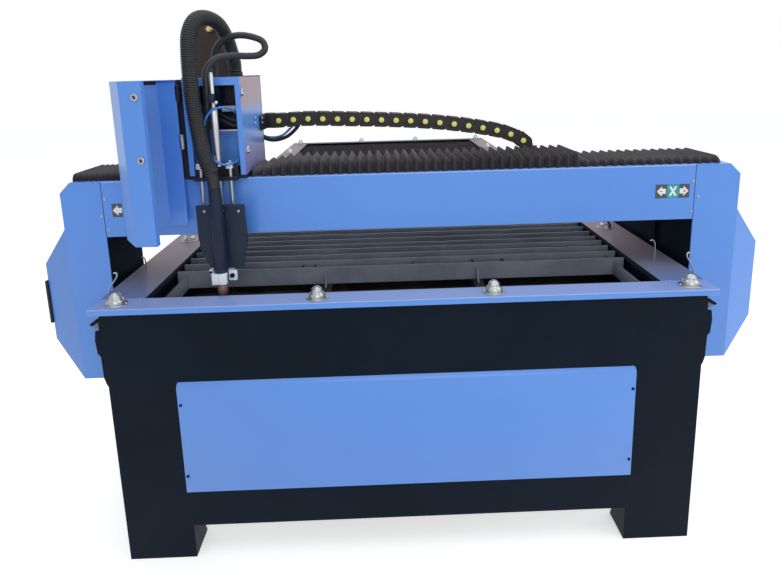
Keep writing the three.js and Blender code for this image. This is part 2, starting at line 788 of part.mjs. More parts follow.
function sideVent() {
  const back = endOffset - endBulgeX - gap;
  const y0 = gantryMiddleY - ventDepth / 2;
  const y1 = gantryMiddleY + ventDepth / 2;
  let plate = box(back - ventThickness, back, y0, y1, ventBottom, ventTop);
  const pitch = (ventTop - ventBottom) / (ventSlots + 1);
  for (let i = 1; i <= ventSlots; i += 1) {
    const z = ventBottom + pitch * i - ventSlotHeight / 2;
    plate = plate.subtract(box(back - ventThickness - bite, back + bite,
      y0 + ventSlotHeight, y1 - ventSlotHeight, z, z + ventSlotHeight));
  }
  return plate;
}
part('side_vent', sideVent(), blackPlastic);

// ---------------------------------------------------------------- uprights with guide blocks
function upright(place) {
  const y0 = gantryFrontY + sheet + gap;
  const y1 = gantryRearY - sheet - gap;
  const profile = [
    [y0 + uprightChamfer, uprightBottom], [y1 - uprightChamfer, uprightBottom],
    [y1, uprightBottom + uprightChamfer], [y1, uprightTop], [y0, uprightTop],
    [y0, uprightBottom + uprightChamfer],
  ];
  const across = (a, b) => (place > 0 ? [a, b] : [-b, -a]);
  const plate = prism(profile, 'x', ...across(gantryInnerX, uprightX));
  const hole = bar('x', pinionShaft + gap, [gantryMiddleY, pinionZ], ...across(stripX, uprightX + bite));
  const blockFace = guideTopX - blockCap;
  const blocks = [y0 + blockInset, y1 - blockInset - blockLength].map((y) => {
    const [x0, x1] = across(blockFace, gantryInnerX + bite);
    const [s0, s1] = across(blockFace - bite, guideTopX + gap);
    const half = blockWidth / 2;
    const slot = guideWidth / 2 + gap;
    const body = box(x0, x1, y, y + blockLength, yGuideZ - half, yGuideZ + half);
    return body.subtract(box(s0, s1, y - bite, y + blockLength + bite, yGuideZ - slot, yGuideZ + slot));
  });
  return join(plate, ...blocks).subtract(hole);
}
// The chain bracket that reaches back from the right upright, inside the end cover's line.
function chainBracket() {
  const tail = prism([
    [tailStart, tailBottom], [tailEnd - tailCorner, tailBottom], [tailEnd, tailBottom + tailCorner],
    [tailEnd, tailTop - tailCorner], [tailEnd - tailCorner, tailTop], [tailStart, tailTop],
  ], 'x', gantryInnerX - gap - uprightThickness, gantryInnerX - gap);
  const pad = box(gantryInnerX - uprightThickness, gantryInnerX + bite, tailStart,
    gantryRearY - sheet - gap, tailBottom, tailTop);
  return join(tail, pad);
}
part('right_upright', join(upright(1), chainBracket()), blackPaint);
part('left_upright', upright(-1), blackPaint);

// ---------------------------------------------------------------- Y motors and pinions
function yMotor(side) {
  const half = motorSide / 2;
  const inner = uprightX + gap;
  const across = (a, b) => (side > 0 ? [a, b] : [-b, -a]);
  const flange = box(...across(inner, inner + motorFlange), gantryMiddleY - half, gantryMiddleY + half,
    pinionZ - half, pinionZ + half);
  const cut = motorCorner;
  const bodyHalf = motorBody / 2;
  const octagon = [
    [-bodyHalf + cut, -bodyHalf], [bodyHalf - cut, -bodyHalf], [bodyHalf, -bodyHalf + cut],
    [bodyHalf, bodyHalf - cut], [bodyHalf - cut, bodyHalf], [-bodyHalf + cut, bodyHalf],
    [-bodyHalf, bodyHalf - cut], [-bodyHalf, -bodyHalf + cut],
  ].map(([y, z]) => [gantryMiddleY + y, pinionZ + z]);
  return join(flange, prism(octagon, 'x', ...across(inner + motorFlange - bite, inner + motorLength)));
}
function yPinion(side) {
  const across = (a, b) => (side > 0 ? [a, b] : [-b, -a]);
  const outline = gearOutline().map(([y, z]) => [gantryMiddleY + y, pinionZ + z]);
  const face = guideX + gap;
  const gear = prism(outline, 'x', ...across(face, face + pinionWidth));
  const shaftSpan = across(face + pinionWidth - bite, uprightX);
  const shaft = bar('x', pinionShaft, [gantryMiddleY, pinionZ], ...shaftSpan);
  return join(gear, shaft);
}
part('y_motor_right', yMotor(1), blackPaint);
part('y_motor_left', yMotor(-1), blackPaint);
part('y_pinion_right', yPinion(1), steel);
part('y_pinion_left', yPinion(-1), steel);

// ---------------------------------------------------------------- bellows
// A fold's ring: an upturned channel, lower and narrower by the fold's inset.
function bellowsRing(x, top, inset) {
  const front = bellowsFrontY + inset;
  const rear = bellowsRearY - inset;
  const crest = top - inset;
  const outer = [[rear, bellowsBase], [rear, crest], [front, crest], [front, bellowsBase]];
  const inner = [
    [front + bellowsWall, bellowsBase], [front + bellowsWall, crest - bellowsWall],
    [rear - bellowsWall, crest - bellowsWall], [rear - bellowsWall, bellowsBase],
  ];
  return [...outer, ...inner].map(([y, z]) => new THREE.Vector3(x, y, z));
}
function bellows(from, to, pitch, topAt) {
  const folds = Math.round((to - from) / pitch);
  const rings = [];
  for (let i = 0; i <= folds * 2; i += 1) {
    const x = from + ((to - from) * i) / (folds * 2);
    const top = topAt(x);
    const inset = i % 2 === 0 ? Math.min(bellowsFold, (top - bellowsBase) / 3) : 0;
    rings.push(bellowsRing(x, top, inset));
  }
  const section = rings[0].map((point) => new THREE.Vector2(point.y, point.z));
  return solidOf(loft(rings, section));
}
function rightTop(x) {
  const sag = Math.min(1, (x - bellowsMeetRight) / bellowsSagLength);
  if (x > bellowsLowFromX) return bellowsLowTop;
  return bellowsLowTop + (bellowsTop - bellowsLowTop) * sag;
}
part('right_bellows', bellows(bellowsMeetRight, bellowsEndX, bellowsPitch, rightTop), bellowsCloth);
part('left_bellows',
  bellows(-bellowsEndX, bellowsMeetLeft, bellowsShortPitch, () => bellowsLowTop), bellowsCloth);

// ---------------------------------------------------------------- carriage plate
function carriagePlate() {
  const base = prism([
    [carriageTongueLeft, carriageTongueFront], [carriageTongueRight, carriageTongueFront],
    [carriageTongueRight, headFrontY], [headRight, headFrontY], [headRight, headRear + backPlate],
    [headLeft, headRear + backPlate], [headLeft, hingePostY + hingePostDepth],
    [carriageLeft, hingePostY + hingePostDepth], [carriageLeft, hingePostY],
    [headLeft, hingePostY], [headLeft, headFrontY], [carriageTongueLeft, headFrontY],
  ], 'z', carriageBottom, carriageTop);
  const post = box(carriageLeft, carriageLeft + hingePostWidth, hingePostY, hingePostY + hingePostDepth,
    carriageBottom, hingePostTop);
  const shoulder = headTop + sheet;
  const riser = box(carriageTongueLeft, carriageTongueRight, riserFront, headFrontY - gap,
    carriageTop - bite, riserTop);
  const back = prism([
    [headLeft, carriageTop - bite], [headRight, carriageTop - bite], [headRight, shoulder],
    [hoseBracketRight, shoulder], [hoseBracketRight, hoseBracketTop - hoseBracketSlope * 2],
    [hoseBracketRight - hoseBracketSlope, hoseBracketTop],
    [hoseBracketLeft + hoseBracketCorner, hoseBracketTop],
    [hoseBracketLeft, hoseBracketTop - hoseBracketCorner], [hoseBracketLeft, shoulder],
    [headLeft, shoulder],
  ], 'y', headRear + gap, headRear + backPlate);
  const anchorTop = xChainStartZ + linkSide / 2;
  const anchor = box(headRight - backPlate, headRight, headRear + backPlate - bite,
    xChainY + linkSide / 2, anchorTop - linkSide, anchorTop);
  const blockX = [headLeft, headRight - xBlockLength];
  const blockY = [xGuideFrontY, xGuideRearY];
  const blocks = blockX.flatMap((x) => blockY.map((y) => {
    const half = xBlockWidth / 2;
    const slot = guideWidth / 2 + gap;
    const body = box(x, x + xBlockLength, y - half, y + half, xGuideTop - blockCap, carriageBottom + bite);
    return body.subtract(box(x - bite, x + xBlockLength + bite, y - slot, y + slot,
      xGuideTop - blockCap - bite, xGuideTop + gap));
  }));
  const rodHoles = [leftRodX, rightRodX].map((x) => bar('z', rodRadius + gap, [x, rodY],
    carriageBottom - bite, carriageTop + bite));
  const screwHole = bar('z', screwRadius + sheet, [zMotorX, zMotorY],
    carriageBottom - bite, carriageTop + bite);
  const pinionHole = bar('z', pinionShaft + gap, [headX, xPinionY],
    carriageBottom - bite, carriageTop + bite);
  const hinges = [hingeLow, hingeHigh].flatMap((z) => hingeParts(z));
  return join(base, post, riser, back, anchor, ...blocks, ...hinges)
    .subtract(join(...rodHoles, screwHole, pinionHole));
}
// The fixed half of a door hinge: two arms from the post and the pin through the door's barrel.
function hingeParts(z) {
  const low = z - hingeArm;
  const high = z + hingeLength + hingeArm;
  const pin = bar('z', hingePin, [hingeX, hingeY], low, high, thinSides);
  const arms = [low, z + hingeLength + gap].map((from) => box(
    hingeX - hingePin, hingeX + hingePin, hingeY, hingePostY + bite, from, from + hingeArm - gap));
  return [pin, ...arms];
}
part('carriage_plate', carriagePlate(), blackPaint);

// ---------------------------------------------------------------- torch head housing
function headHousing() {
  const wall = headSheet;
  const outer = box(headLeft, headRight, headFrontY, headRear, headBottom, headTop);
  const inner = box(headLeft + wall, headRight - wall, headFrontY + wall, headRear - wall,
    headBottom - bite, headTop - wall);
  const window = box(headLeft + headPost, headRight - headPost, headFrontY - bite, headFrontY + wall + bite,
    headBottom - bite, headTop - headBar);
  const panel = box(headLeft + bite, headRight - bite, innerPanelY, innerPanelY + wall,
    innerPanelBottom, innerPanelTop);
  const hoseHole = bar('z', hoseBore, [hoseEndX, hoseEndY],
    headTop - wall - bite, headTop + hoseGland + bite);
  const gland = bar('z', hoseRadius, [hoseEndX, hoseEndY], headTop - bite, headTop + hoseGland);
  const catches = latchZ.map((z) => box(headRight - bite, headRight + wall,
    headFrontY + sheet, headFrontY + sheet + headPost, z - headPost, z + headPost));
  return join(outer.subtract(inner).subtract(window), panel, gland, ...catches).subtract(hoseHole);
}
part('head_housing', headHousing(), bluePaint);

// ---------------------------------------------------------------- X motor and pinion, Z motor and screw
const xMotorHalf = xMotorSide / 2;
part('x_motor', box(headX - xMotorHalf, headX + xMotorHalf, xPinionY - xMotorHalf, xPinionY + xMotorHalf,
  carriageTop + gap, carriageTop + gap + xMotorHeight), blackPaint);
const xPinionOutline = gearOutline().map(([x, y]) => [headX + x, xPinionY + y]);
const xPinionFace = gantryBeamTop + 2;
const xPinion = join(prism(xPinionOutline, 'z', xPinionFace, xPinionFace + pinionWidth),
  bar('z', pinionShaft, [headX, xPinionY], xPinionFace + pinionWidth - bite, carriageTop));
part('x_pinion', xPinion, steel);
const zMotorTop = zMotorBottom + zMotorHeight;
const zMotorHalf = zMotorSide / 2;
const zMotorBlock = box(zMotorX - zMotorHalf, zMotorX + zMotorHalf, zMotorY - zMotorHalf,
  zMotorY + zMotorHalf, zMotorBottom, zMotorTop);
const zMotorArm = box(zMotorX - zMotorHalf, zMotorX + zMotorHalf, zMotorY + zMotorHalf - bite,
  headRear - headSheet - gap, zMotorBottom, zMotorBottom + headSheet);
part('z_motor', join(zMotorBlock, zMotorArm), blackPaint);
part('lead_screw',
  bar('z', screwRadius, [zMotorX, zMotorY], screwBottom, zMotorBottom - gap, thinSides), steel);

// ---------------------------------------------------------------- guide rods, their support and the cylinder
part('guide_rod_left', bar('z', rodRadius, [leftRodX, rodY], rodBottom, rodTop, thinSides), steel);
part('guide_rod_right', bar('z', rodRadius, [rightRodX, rodY], rodBottom, rodTop, thinSides), steel);
function rodSupport() {
  const rear = riserFront - gap;
  const blocks = [leftRodX, rightRodX].map((x) => box(x - rodBlock / 2, x + rodBlock / 2,
    rodBlockFront, rear, rodBlockBottom, rodBlockTop));
  const web = box(leftRodX, rightRodX, rear - rodWeb, rear, cylinderLugZ, cylinderLugZ + cylinderLugHeight);
  const lug = box(cylinderX - cylinderRadius - 4, cylinderX + cylinderRadius + 4,
    cylinderY - cylinderRadius, rear - rodWeb + bite, cylinderLugZ, cylinderLugZ + cylinderLugHeight);
  const bores = [leftRodX, rightRodX].map((x) => bar('z', rodRadius + gap, [x, rodY],
    rodBlockBottom - bite, rodBlockTop + bite));
  return join(...blocks, web, lug).subtract(join(...bores));
}
part('rod_support', rodSupport(), whiteBlock);
const cylinderBase = cylinderLugZ + cylinderLugHeight + gap;
const cylinderLength = cylinderTop - cylinderBase;
part('lift_cylinder', turned([
  [0, 0], [cylinderCapRadius, 0], [cylinderCapRadius, cylinderCap], [cylinderRadius, cylinderCap + bite],
  [cylinderRadius, cylinderLength - cylinderCap - bite], [cylinderCapRadius, cylinderLength - cylinderCap],
  [cylinderCapRadius, cylinderLength], [cylinderRodRadius, cylinderLength],
  [cylinderRodRadius, cylinderRodTop - cylinderBase], [0, cylinderRodTop - cylinderBase],
], turnedSides, cylinderX, cylinderY, cylinderBase), steel);

// ---------------------------------------------------------------- slide plate
function slidePlate() {
  const rear = slideFrontY + slideThickness;
  const plate = prism([
    [slideTopLeft, slideTop], [slideTopRight, slideTop], [slideWaistRight, slideWaistRightZ],
    [slideBottomRight, slideBottom], [slideBottomLeft, slideBottom], [slideWaistLeft, slideWaistLeftZ],
  ], 'y', slideFrontY, rear);
  const bushes = [leftRodX, rightRodX].map((x) => box(x - bushWidth / 2, x + bushWidth / 2,
    rear - bite, bushBack, bushBottom, bushTop));
  const nut = box(zMotorX - nutWidth / 2, zMotorX + nutWidth / 2, rear - bite, nutBack, nutBottom, nutTop);
  const pad = box(torchX - torchRadius, torchX + torchRadius, torchY + torchRadius + gap,
    slideFrontY + bite, padBottom, padTop);
  const bores = [leftRodX, rightRodX].map((x) => bar('z', rodRadius + gap, [x, rodY],
    bushBottom - bite, bushTop + bite));
  const nutBore = bar('z', screwRadius + screwRun, [zMotorX, zMotorY], nutBottom - bite, nutTop + bite);
  return join(plate, ...bushes, nut, pad).subtract(join(...bores, nutBore));
}
part('slide_plate', slidePlate(), blackPaint);

// ---------------------------------------------------------------- torch
part('torch_body', turned([
  [0, 0], [torchHeadRadius, 0], [torchHeadRadius, torchBottom - clampBottom],
  [torchRadius - 2, torchBottom - clampBottom + 2], [torchRadius, torchShoulder - clampBottom],
  [torchRadius, torchTop - clampBottom], [0, torchTop - clampBottom],
], roundSides, torchX, torchY, clampBottom), rubber);
function torchClamp() {
  const rear = slideFrontY - gap;
  const block = box(clampLeft, clampRight, clampFront, rear, clampBottom, clampTop);
  const ear = box(clampRight - bite, clampEarRight, clampEarFront, slideFrontY + slideThickness,
    clampEarBottom, slideBottom - gap);
  const horn = box(clampHornLeft, clampHornRight, clampHornFront, rear, clampHornBottom, clampHornTop);
  const bore = bar('z', torchHeadRadius + gap, [torchX, torchY], clampBottom - bite, clampTop + bite);
  const earMiddle = [(clampRight + clampEarRight) / 2, (clampEarBottom + slideBottom) / 2];
  const earHole = bar('y', clampEarHole, earMiddle, 0, tableWidth, thinSides);
  return join(block, ear, horn).subtract(bore).subtract(earHole);
}
part('torch_clamp', torchClamp(), whiteBlock);
part('torch_nozzle', turned([
  [0, 0], [nozzleTipRadius, 0], [nozzleRadius, nozzleTaper],
  [nozzleRadius, nozzleTop - nozzleTip], [0, nozzleTop - nozzleTip],
], turnedSides, torchX, torchY, nozzleTip), copper);

// ---------------------------------------------------------------- ribbed torch hose
// Points from the torch's top to the housing's gland, counted from the head's middle and the bed's top.
const hoseFrom = torchTop + gap - workHeight;
const hoseTo = headTop + hoseGland + gap - workHeight;
const hoseRoute = [
  [10, torchY, hoseFrom], [10, torchY, 315], [11, torchY, 335], [10, 77, 355], [-1, 78, 396],
  [-18, 79, 463], [-25, 80, 528], [-28, 82, 588], [-30, 86, 645], [-28, 98, 697], [-20, 126, 731],
  [-7, 166, 743], [10, 208, 731], [19, 246, 696], [23, 275, 650],
  [23, hoseEndY, 618], [23, hoseEndY, hoseTo],
].map(([x, y, z]) => new THREE.Vector3(headX + x, y, workHeight + z));

// Rings of points round a curve, with frames that turn as little as they can.
function ringsAlong(curve, stops, sides, radiusAt) {
  const frames = [];
  let normal = new THREE.Vector3(1, 0, 0);
  for (const stop of stops) {
    const tangent = curve.getTangentAt(stop);
    normal = normal.clone().addScaledVector(tangent, -normal.dot(tangent)).normalize();
    frames.push({ centre: curve.getPointAt(stop), normal, binormal: tangent.clone().cross(normal) });
  }
  return frames.map((frame, i) => Array.from({ length: sides }, (_, k) => {
    const angle = (k * 2 * Math.PI) / sides;
    return frame.centre.clone()
      .addScaledVector(frame.normal, Math.cos(angle) * radiusAt(i))
      .addScaledVector(frame.binormal, Math.sin(angle) * radiusAt(i));
  }));
}

function ribbedHose() {
  const curve = new THREE.CatmullRomCurve3(hoseRoute, false, 'centripetal');
  curve.arcLengthDivisions = hoseSteps;
  const outerStops = Array.from({ length: hoseRibs * 2 + 1 }, (_, i) => i / (hoseRibs * 2));
  const boreSteps = Math.ceil(hoseRibs / hoseBorePerRibs);
  const boreStops = Array.from({ length: boreSteps + 1 }, (_, i) => i / boreSteps);
  const sides = 8;
  const ribRadius = (i) => (i % 2 === 0 ? hoseRadius - hoseRib : hoseRadius);
  const outer = ringsAlong(curve, outerStops, sides, ribRadius);
  const bore = ringsAlong(curve, boreStops, sides, () => hoseBore);
  const positions = [...outer, ...bore].flat().flatMap((point) => [point.x, point.y, point.z]);
  const boreBase = outer.length * sides;
  const index = [];
  const skin = (base, rings, outward) => {
    for (let ring = 0; ring < rings - 1; ring += 1) {
      for (let i = 0; i < sides; i += 1) {
        const a = base + ring * sides + i;
        const b = base + ring * sides + ((i + 1) % sides);
        if (outward) index.push(a, b, b + sides, a, b + sides, a + sides);
        else index.push(a, b + sides, b, a, a + sides, b + sides);
      }
    }
  };
  skin(0, outer.length, true);
  skin(boreBase, bore.length, false);
  const outerLast = (outer.length - 1) * sides;
  const boreLast = boreBase + (bore.length - 1) * sides;
  for (let i = 0; i < sides; i += 1) {
    const next = (i + 1) % sides;
    index.push(i, boreBase + i, boreBase + next, i, boreBase + next, next);
    index.push(outerLast + i, boreLast + next, boreLast + i);
    index.push(outerLast + i, outerLast + next, boreLast + next);
  }
  const geometry = new THREE.BufferGeometry();
  geometry.setAttribute('position', new THREE.Float32BufferAttribute(positions, 3));
  geometry.setIndex(index);
  geometry.computeVertexNormals();
  return geometry;
}
part('torch_hose', ribbedHose(), rubber);

// ---------------------------------------------------------------- thin torch lead
// Counted like the hose's points, from the carriage to the housing's top.
const leadFoot = carriageTop + gap - workHeight;
const leadEnd = headTop + gap - workHeight;
const leadRoute = [
  [-28, 156, leadFoot], [-28, 156, 345], [-26, 152, 400], [-20, 139, 435], [-10, 121, 474], [-4, 116, 515],
  [-3, 117, 560], [-2, 124, 603], [21, 138, 632], [57, 158, 640], [95, 178, 639], [122, 190, 642],
  [138, 197, 657], [133, 200, 678], [107, 200, 691], [67, 200, 697], [29, 200, 688],
  [4, 201, 665], [-7, 206, 635], [-9, 210, 609], [-9, 210, leadEnd],
].map(([x, y, z]) => new THREE.Vector3(headX + x, y, workHeight + z));
function leadTube() {
  const curve = new THREE.CatmullRomCurve3(leadRoute, false, 'centripetal');
  const stops = Array.from({ length: leadSteps + 1 }, (_, i) => i / leadSteps);
  const rings = ringsAlong(curve, stops, 8, () => leadRadius);
  const section = Array.from({ length: 8 }, (_, k) => {
    const angle = (k * 2 * Math.PI) / 8;
    return new THREE.Vector2(Math.cos(angle), Math.sin(angle));
  });
  return loft(rings, section);
}
part('torch_lead', leadTube(), rubber);

// ---------------------------------------------------------------- torch head door
function doorLine() {
  const left = -doorOffset;
  const right = left + doorWidth;
  const front = -doorSide - doorSlope;
  return [
    [right - doorLip, -doorSide + doorLatchSide], [right, -doorSide + doorLatchSide], [right, -doorSide],
    [right - doorSlope, front], [left + doorSlope, front], [left, -doorSide], [left, -doorStart],
  ].reverse();
}
const doorLatchX = doorWidth - doorOffset;
const doorLatchY = -doorSide + doorLatchSide - latchFromEdge;
function doorShell() {
  const shell = prism(foldedBand(doorLine(), doorSheet), 'z', doorBottom, doorTop);
  const capLine = doorLine().slice(0, -1);
  const cap = prism(foldedBand(capLine, doorCap), 'z', doorTop - doorSheet, doorTop);
  const barrels = [hingeLow, hingeHigh].map((z) => bar('z', hingeBarrel, [0, 0], z, z + hingeLength,
    turnedSides));
  const webs = [hingeLow, hingeHigh].map((z) => box(-doorOffset, 0, -doorStart - 2, 0, z, z + hingeLength));
  const bore = bar('z', hingePin + gap, [0, 0], hingeLow - bite, doorTop + bite, thinSides);
  const latchHoles = latchZ.map((z) => bar('x', latchShaft + gap, [doorLatchY, z],
    doorLatchX - 2 * doorSheet, doorLatchX + bite, thinSides));
  return join(shell, cap, ...barrels, ...webs).subtract(join(bore, ...latchHoles));
}
function latch(z) {
  const disc = bar('x', latchRadius, [doorLatchY, z], doorLatchX + gap, doorLatchX + latchDisc,
    turnedSides);
  const grip = box(doorLatchX + latchDisc - bite, doorLatchX + latchDisc + latchGripHeight,
    doorLatchY - latchGripHeight / 2, doorLatchY + latchGripHeight / 2, z - latchGrip / 2, z + latchGrip / 2);
  const shaft = bar('x', latchShaft, [doorLatchY, z], doorLatchX - doorSheet - gap - bite,
    doorLatchX + latchDisc, thinSides);
  const armFront = doorLatchX + latchDisc;
  const arm = box(armFront - latchArmThickness, armFront, doorLatchY - latchArmWidth / 2,
    doorLatchY + latchArmWidth / 2, z - latchArm, z);
  const washer = bar('x', latchShaft + 2, [doorLatchY, z], doorLatchX - doorSheet - 2 * gap - bite,
    doorLatchX - doorSheet - gap, thinSides);
  return join(disc, grip, shaft, arm, washer);
}
const door = new THREE.Group();
door.position.set(hingeX, hingeY, 0);
door.rotation.z = -THREE.MathUtils.degToRad(doorOpenAngle);
machine.add(door);
door.add(part('torch_door', doorShell(), bluePaint));
door.add(part('door_latch_lower', latch(latchZ[0]), zinc));
door.add(part('door_latch_upper', latch(latchZ[1]), zinc));

// ---------------------------------------------------------------- cable chains
// A chain of links: each link is a full section that steps down to the neck of the next.
function linkChain(curve, pitch, across) {
  const links = Math.round(curve.getLength() / pitch);
  const stops = [];
  for (let link = 0; link < links; link += 1) {
    const start = link / links;
    const step = 1 / links;
    stops.push([start + step * linkEdge, 0], [start + step * linkFull, 0]);
    stops.push([start + step * (linkFull + linkEdge), linkNeck]);
    stops.push([start + step * (1 - linkEdge / 20), linkNeck]);
  }
  const half = linkSide / 2;
  const rings = stops.map(([stop, neck]) => {
    const centre = curve.getPointAt(stop);
    const tangent = curve.getTangentAt(stop);
    const up = tangent.clone().cross(across).normalize();
    return [[-1, -1], [1, -1], [1, 1], [-1, 1]].map(([side, height]) => centre.clone()
      .addScaledVector(across, side * (half - neck))
      .addScaledVector(up, height * (half - neck)));
  });
  const section = [[-1, -1], [1, -1], [1, 1], [-1, 1]].map(([a, b]) => new THREE.Vector2(a, b));
  return loft(rings, section);
}
const xChainRoute = [
  [headRight + gap, 439], [headRight + 50, 440], [headRight + 135, 443], [-155, 438], [-14, 431],
  [127, 420], [268, 400], [365, 377], [420, 347], [437, 313], [424, 279], [388, 261], [330, 256],
  [200, 255], [xChainEnd, 255],
].map(([x, z]) => new THREE.Vector3(x, xChainY, workHeight + z));
const xChainCurve = new THREE.CatmullRomCurve3(xChainRoute, false, 'centripetal');
part('x_drag_chain', linkChain(xChainCurve, xChainLink, new THREE.Vector3(0, -1, 0)), blackPlastic);

function yChainCurve() {
  const path = new THREE.CurvePath();
  const point = (y, z) => new THREE.Vector3(yChainX, y, z);
  const lowZ = yChainTop - 2 * yChainBend;
  const handle = yChainBend * circleHandle;
  const middleZ = yChainTop - yChainBend;
  const back = yChainBack + yChainBend;
  path.add(new THREE.LineCurve3(point(gantryRearY + gap, yChainTop), point(yChainBack, yChainTop)));
  path.add(new THREE.CubicBezierCurve3(point(yChainBack, yChainTop), point(yChainBack + handle, yChainTop),
    point(back, middleZ + handle), point(back, middleZ)));
  path.add(new THREE.CubicBezierCurve3(point(back, middleZ), point(back, middleZ - handle),
    point(yChainBack + handle, lowZ), point(yChainBack, lowZ)));
  path.add(new THREE.LineCurve3(point(yChainBack, lowZ), point(yChainBack - yChainTail, lowZ)));
  return path;
}
part('y_drag_chain', linkChain(yChainCurve(), yChainLink, new THREE.Vector3(1, 0, 0)), blackPlastic);

function chainTray() {
  const floor = yChainTop - 2 * yChainBend - linkSide / 2 - gap;
  const half = linkSide / 2 + trayClear + trayWall;
  const line = [
    [yChainX - half, floor - trayWall + trayRise], [yChainX - half, floor - trayWall],
    [yChainX + half, floor - trayWall], [yChainX + half, floor - trayWall + trayRise],
  ];
  const channel = prism(foldedBand(line, trayWall), 'y', trayFront, trayBack);
  const armX = beamOuterX + gap;
  const arms = [trayFront + trayArm, trayBack - trayArm].map((y) => box(
    armX, yChainX - half + bite, y, y + trayArm, floor - trayWall, floor - trayWall + trayRise));
  return join(channel, ...arms);
}
part('y_chain_tray', chainTray(), blackPaint);

// ---------------------------------------------------------------- origin at the bottom centre
machine.updateMatrixWorld(true);
const bounds = new THREE.Box3().setFromObject(machine);
machine.position.set(-(bounds.min.x + bounds.max.x) / 2, -(bounds.min.y + bounds.max.y) / 2, -bounds.min.z);
machine.updateMatrixWorld(true);

export default machine;
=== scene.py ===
import json
import math
import random

import bmesh
import bpy
from mathutils import Matrix, Vector

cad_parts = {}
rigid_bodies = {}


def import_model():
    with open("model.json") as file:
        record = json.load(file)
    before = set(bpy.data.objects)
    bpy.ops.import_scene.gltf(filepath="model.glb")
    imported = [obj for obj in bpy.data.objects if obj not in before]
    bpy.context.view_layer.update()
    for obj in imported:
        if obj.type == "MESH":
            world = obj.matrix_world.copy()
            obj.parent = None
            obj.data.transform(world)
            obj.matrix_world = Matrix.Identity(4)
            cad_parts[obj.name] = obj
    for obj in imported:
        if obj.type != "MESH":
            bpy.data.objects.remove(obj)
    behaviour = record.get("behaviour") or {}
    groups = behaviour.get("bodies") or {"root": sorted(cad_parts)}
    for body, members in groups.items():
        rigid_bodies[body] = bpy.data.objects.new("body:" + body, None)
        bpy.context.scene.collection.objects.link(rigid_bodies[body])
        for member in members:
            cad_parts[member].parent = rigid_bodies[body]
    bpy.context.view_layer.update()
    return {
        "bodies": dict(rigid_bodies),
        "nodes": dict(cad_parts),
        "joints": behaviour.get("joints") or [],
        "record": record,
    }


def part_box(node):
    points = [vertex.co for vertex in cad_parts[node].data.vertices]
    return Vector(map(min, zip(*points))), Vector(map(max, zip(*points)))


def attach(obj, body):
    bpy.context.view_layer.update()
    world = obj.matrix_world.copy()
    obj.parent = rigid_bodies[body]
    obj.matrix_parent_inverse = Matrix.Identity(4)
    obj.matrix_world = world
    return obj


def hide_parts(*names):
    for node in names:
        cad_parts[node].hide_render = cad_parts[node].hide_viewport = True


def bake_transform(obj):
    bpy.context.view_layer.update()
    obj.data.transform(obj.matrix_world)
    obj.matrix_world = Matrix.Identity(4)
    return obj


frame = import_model()
slatLow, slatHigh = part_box("slat_bed")
tableMiddle = (slatLow[0] + slatHigh[0]) / 2
tableFront = slatLow[1] - 0.0623   # the slats start 62.3 mm behind the table's front edge


def at(x, y, z):
    # millimetres from the middle of the table's front edge, at floor height
    return Vector((tableMiddle + x / 1000, tableFront + y / 1000, z / 1000))


view = {"place": (-50.05, -1162.5, 1346.9), "yaw": -0.0162, "pitch": 0.1589, "roll": 0.0262,
        "focal": 477.75, "wide": 781, "tall": 580, "axisRow": 150}


def makeCamera(v):
    across = Vector((math.cos(v["yaw"]), math.sin(v["yaw"]), 0))
    ahead = Vector((-math.sin(v["yaw"]), math.cos(v["yaw"]), 0))
    up = Vector((0, 0, 1))
    look = ahead * math.cos(v["pitch"]) - up * math.sin(v["pitch"])
    top = ahead * math.sin(v["pitch"]) + up * math.cos(v["pitch"])
    right = across * math.cos(v["roll"]) - top * math.sin(v["roll"])
    topTurned = across * math.sin(v["roll"]) + top * math.cos(v["roll"])
    turn = Matrix((right, topTurned, -look)).transposed().to_4x4()
    data = bpy.data.cameras.new("photoCamera")
    data.sensor_width = 36
    data.lens = v["focal"] / v["wide"] * 36
    data.shift_y = -(v["tall"] / 2 - v["axisRow"]) / v["wide"]
    data.clip_end = 60
    camera = bpy.data.objects.new("photoCamera", data)
    camera.matrix_world = Matrix.Translation(at(*v["place"])) @ turn
    bpy.context.collection.objects.link(camera)
    bpy.context.scene.camera = camera


makeCamera(view)
print("camera set")


def newGroup(name, inputs, outputs):
    group = bpy.data.node_groups.new(name, "ShaderNodeTree")
    for socketName, kind, value in inputs:
        socket = group.interface.new_socket(name=socketName, in_out="INPUT", socket_type=kind)
        socket.default_value = value
    for socketName, kind in outputs:
        group.interface.new_socket(name=socketName, in_out="OUTPUT", socket_type=kind)
    return group, group.nodes.new("NodeGroupInput"), group.nodes.new("NodeGroupOutput")


def node(tree, kind, **values):
    made = tree.nodes.new(kind)
    for key, value in values.items():
        if key in made.inputs:
            made.inputs[key].default_value = value
        else:
            setattr(made, key, value)
    return made


def mathNode(tree, operation, first, second, clamp=False):
    made = node(tree, "ShaderNodeMath", operation=operation, use_clamp=clamp)
    for socket, value in zip(made.inputs, (first, second)):
        if isinstance(value, (int, float)):
            socket.default_value = value
        else:
            tree.links.new(value, socket)
    return made.outputs[0]


def mixColor(tree, factor, first, second, blend="MIX"):
    made = node(tree, "ShaderNodeMix", data_type="RGBA", blend_type=blend)
    for index, value in ((0, factor), (6, first), (7, second)):
        if isinstance(value, (int, float, tuple)):
            made.inputs[index].default_value = value
        else:
            tree.links.new(value, made.inputs[index])
    return made.outputs[2]


def ramp(tree, source, low, high, start=0.0, end=1.0):
    made = node(tree, "ShaderNodeMapRange", clamp=True)
    made.inputs["From Min"].default_value = low
    made.inputs["From Max"].default_value = high
    made.inputs["To Min"].default_value = start
    made.inputs["To Max"].default_value = end
    tree.links.new(source, made.inputs["Value"])
    return made.outputs[0]


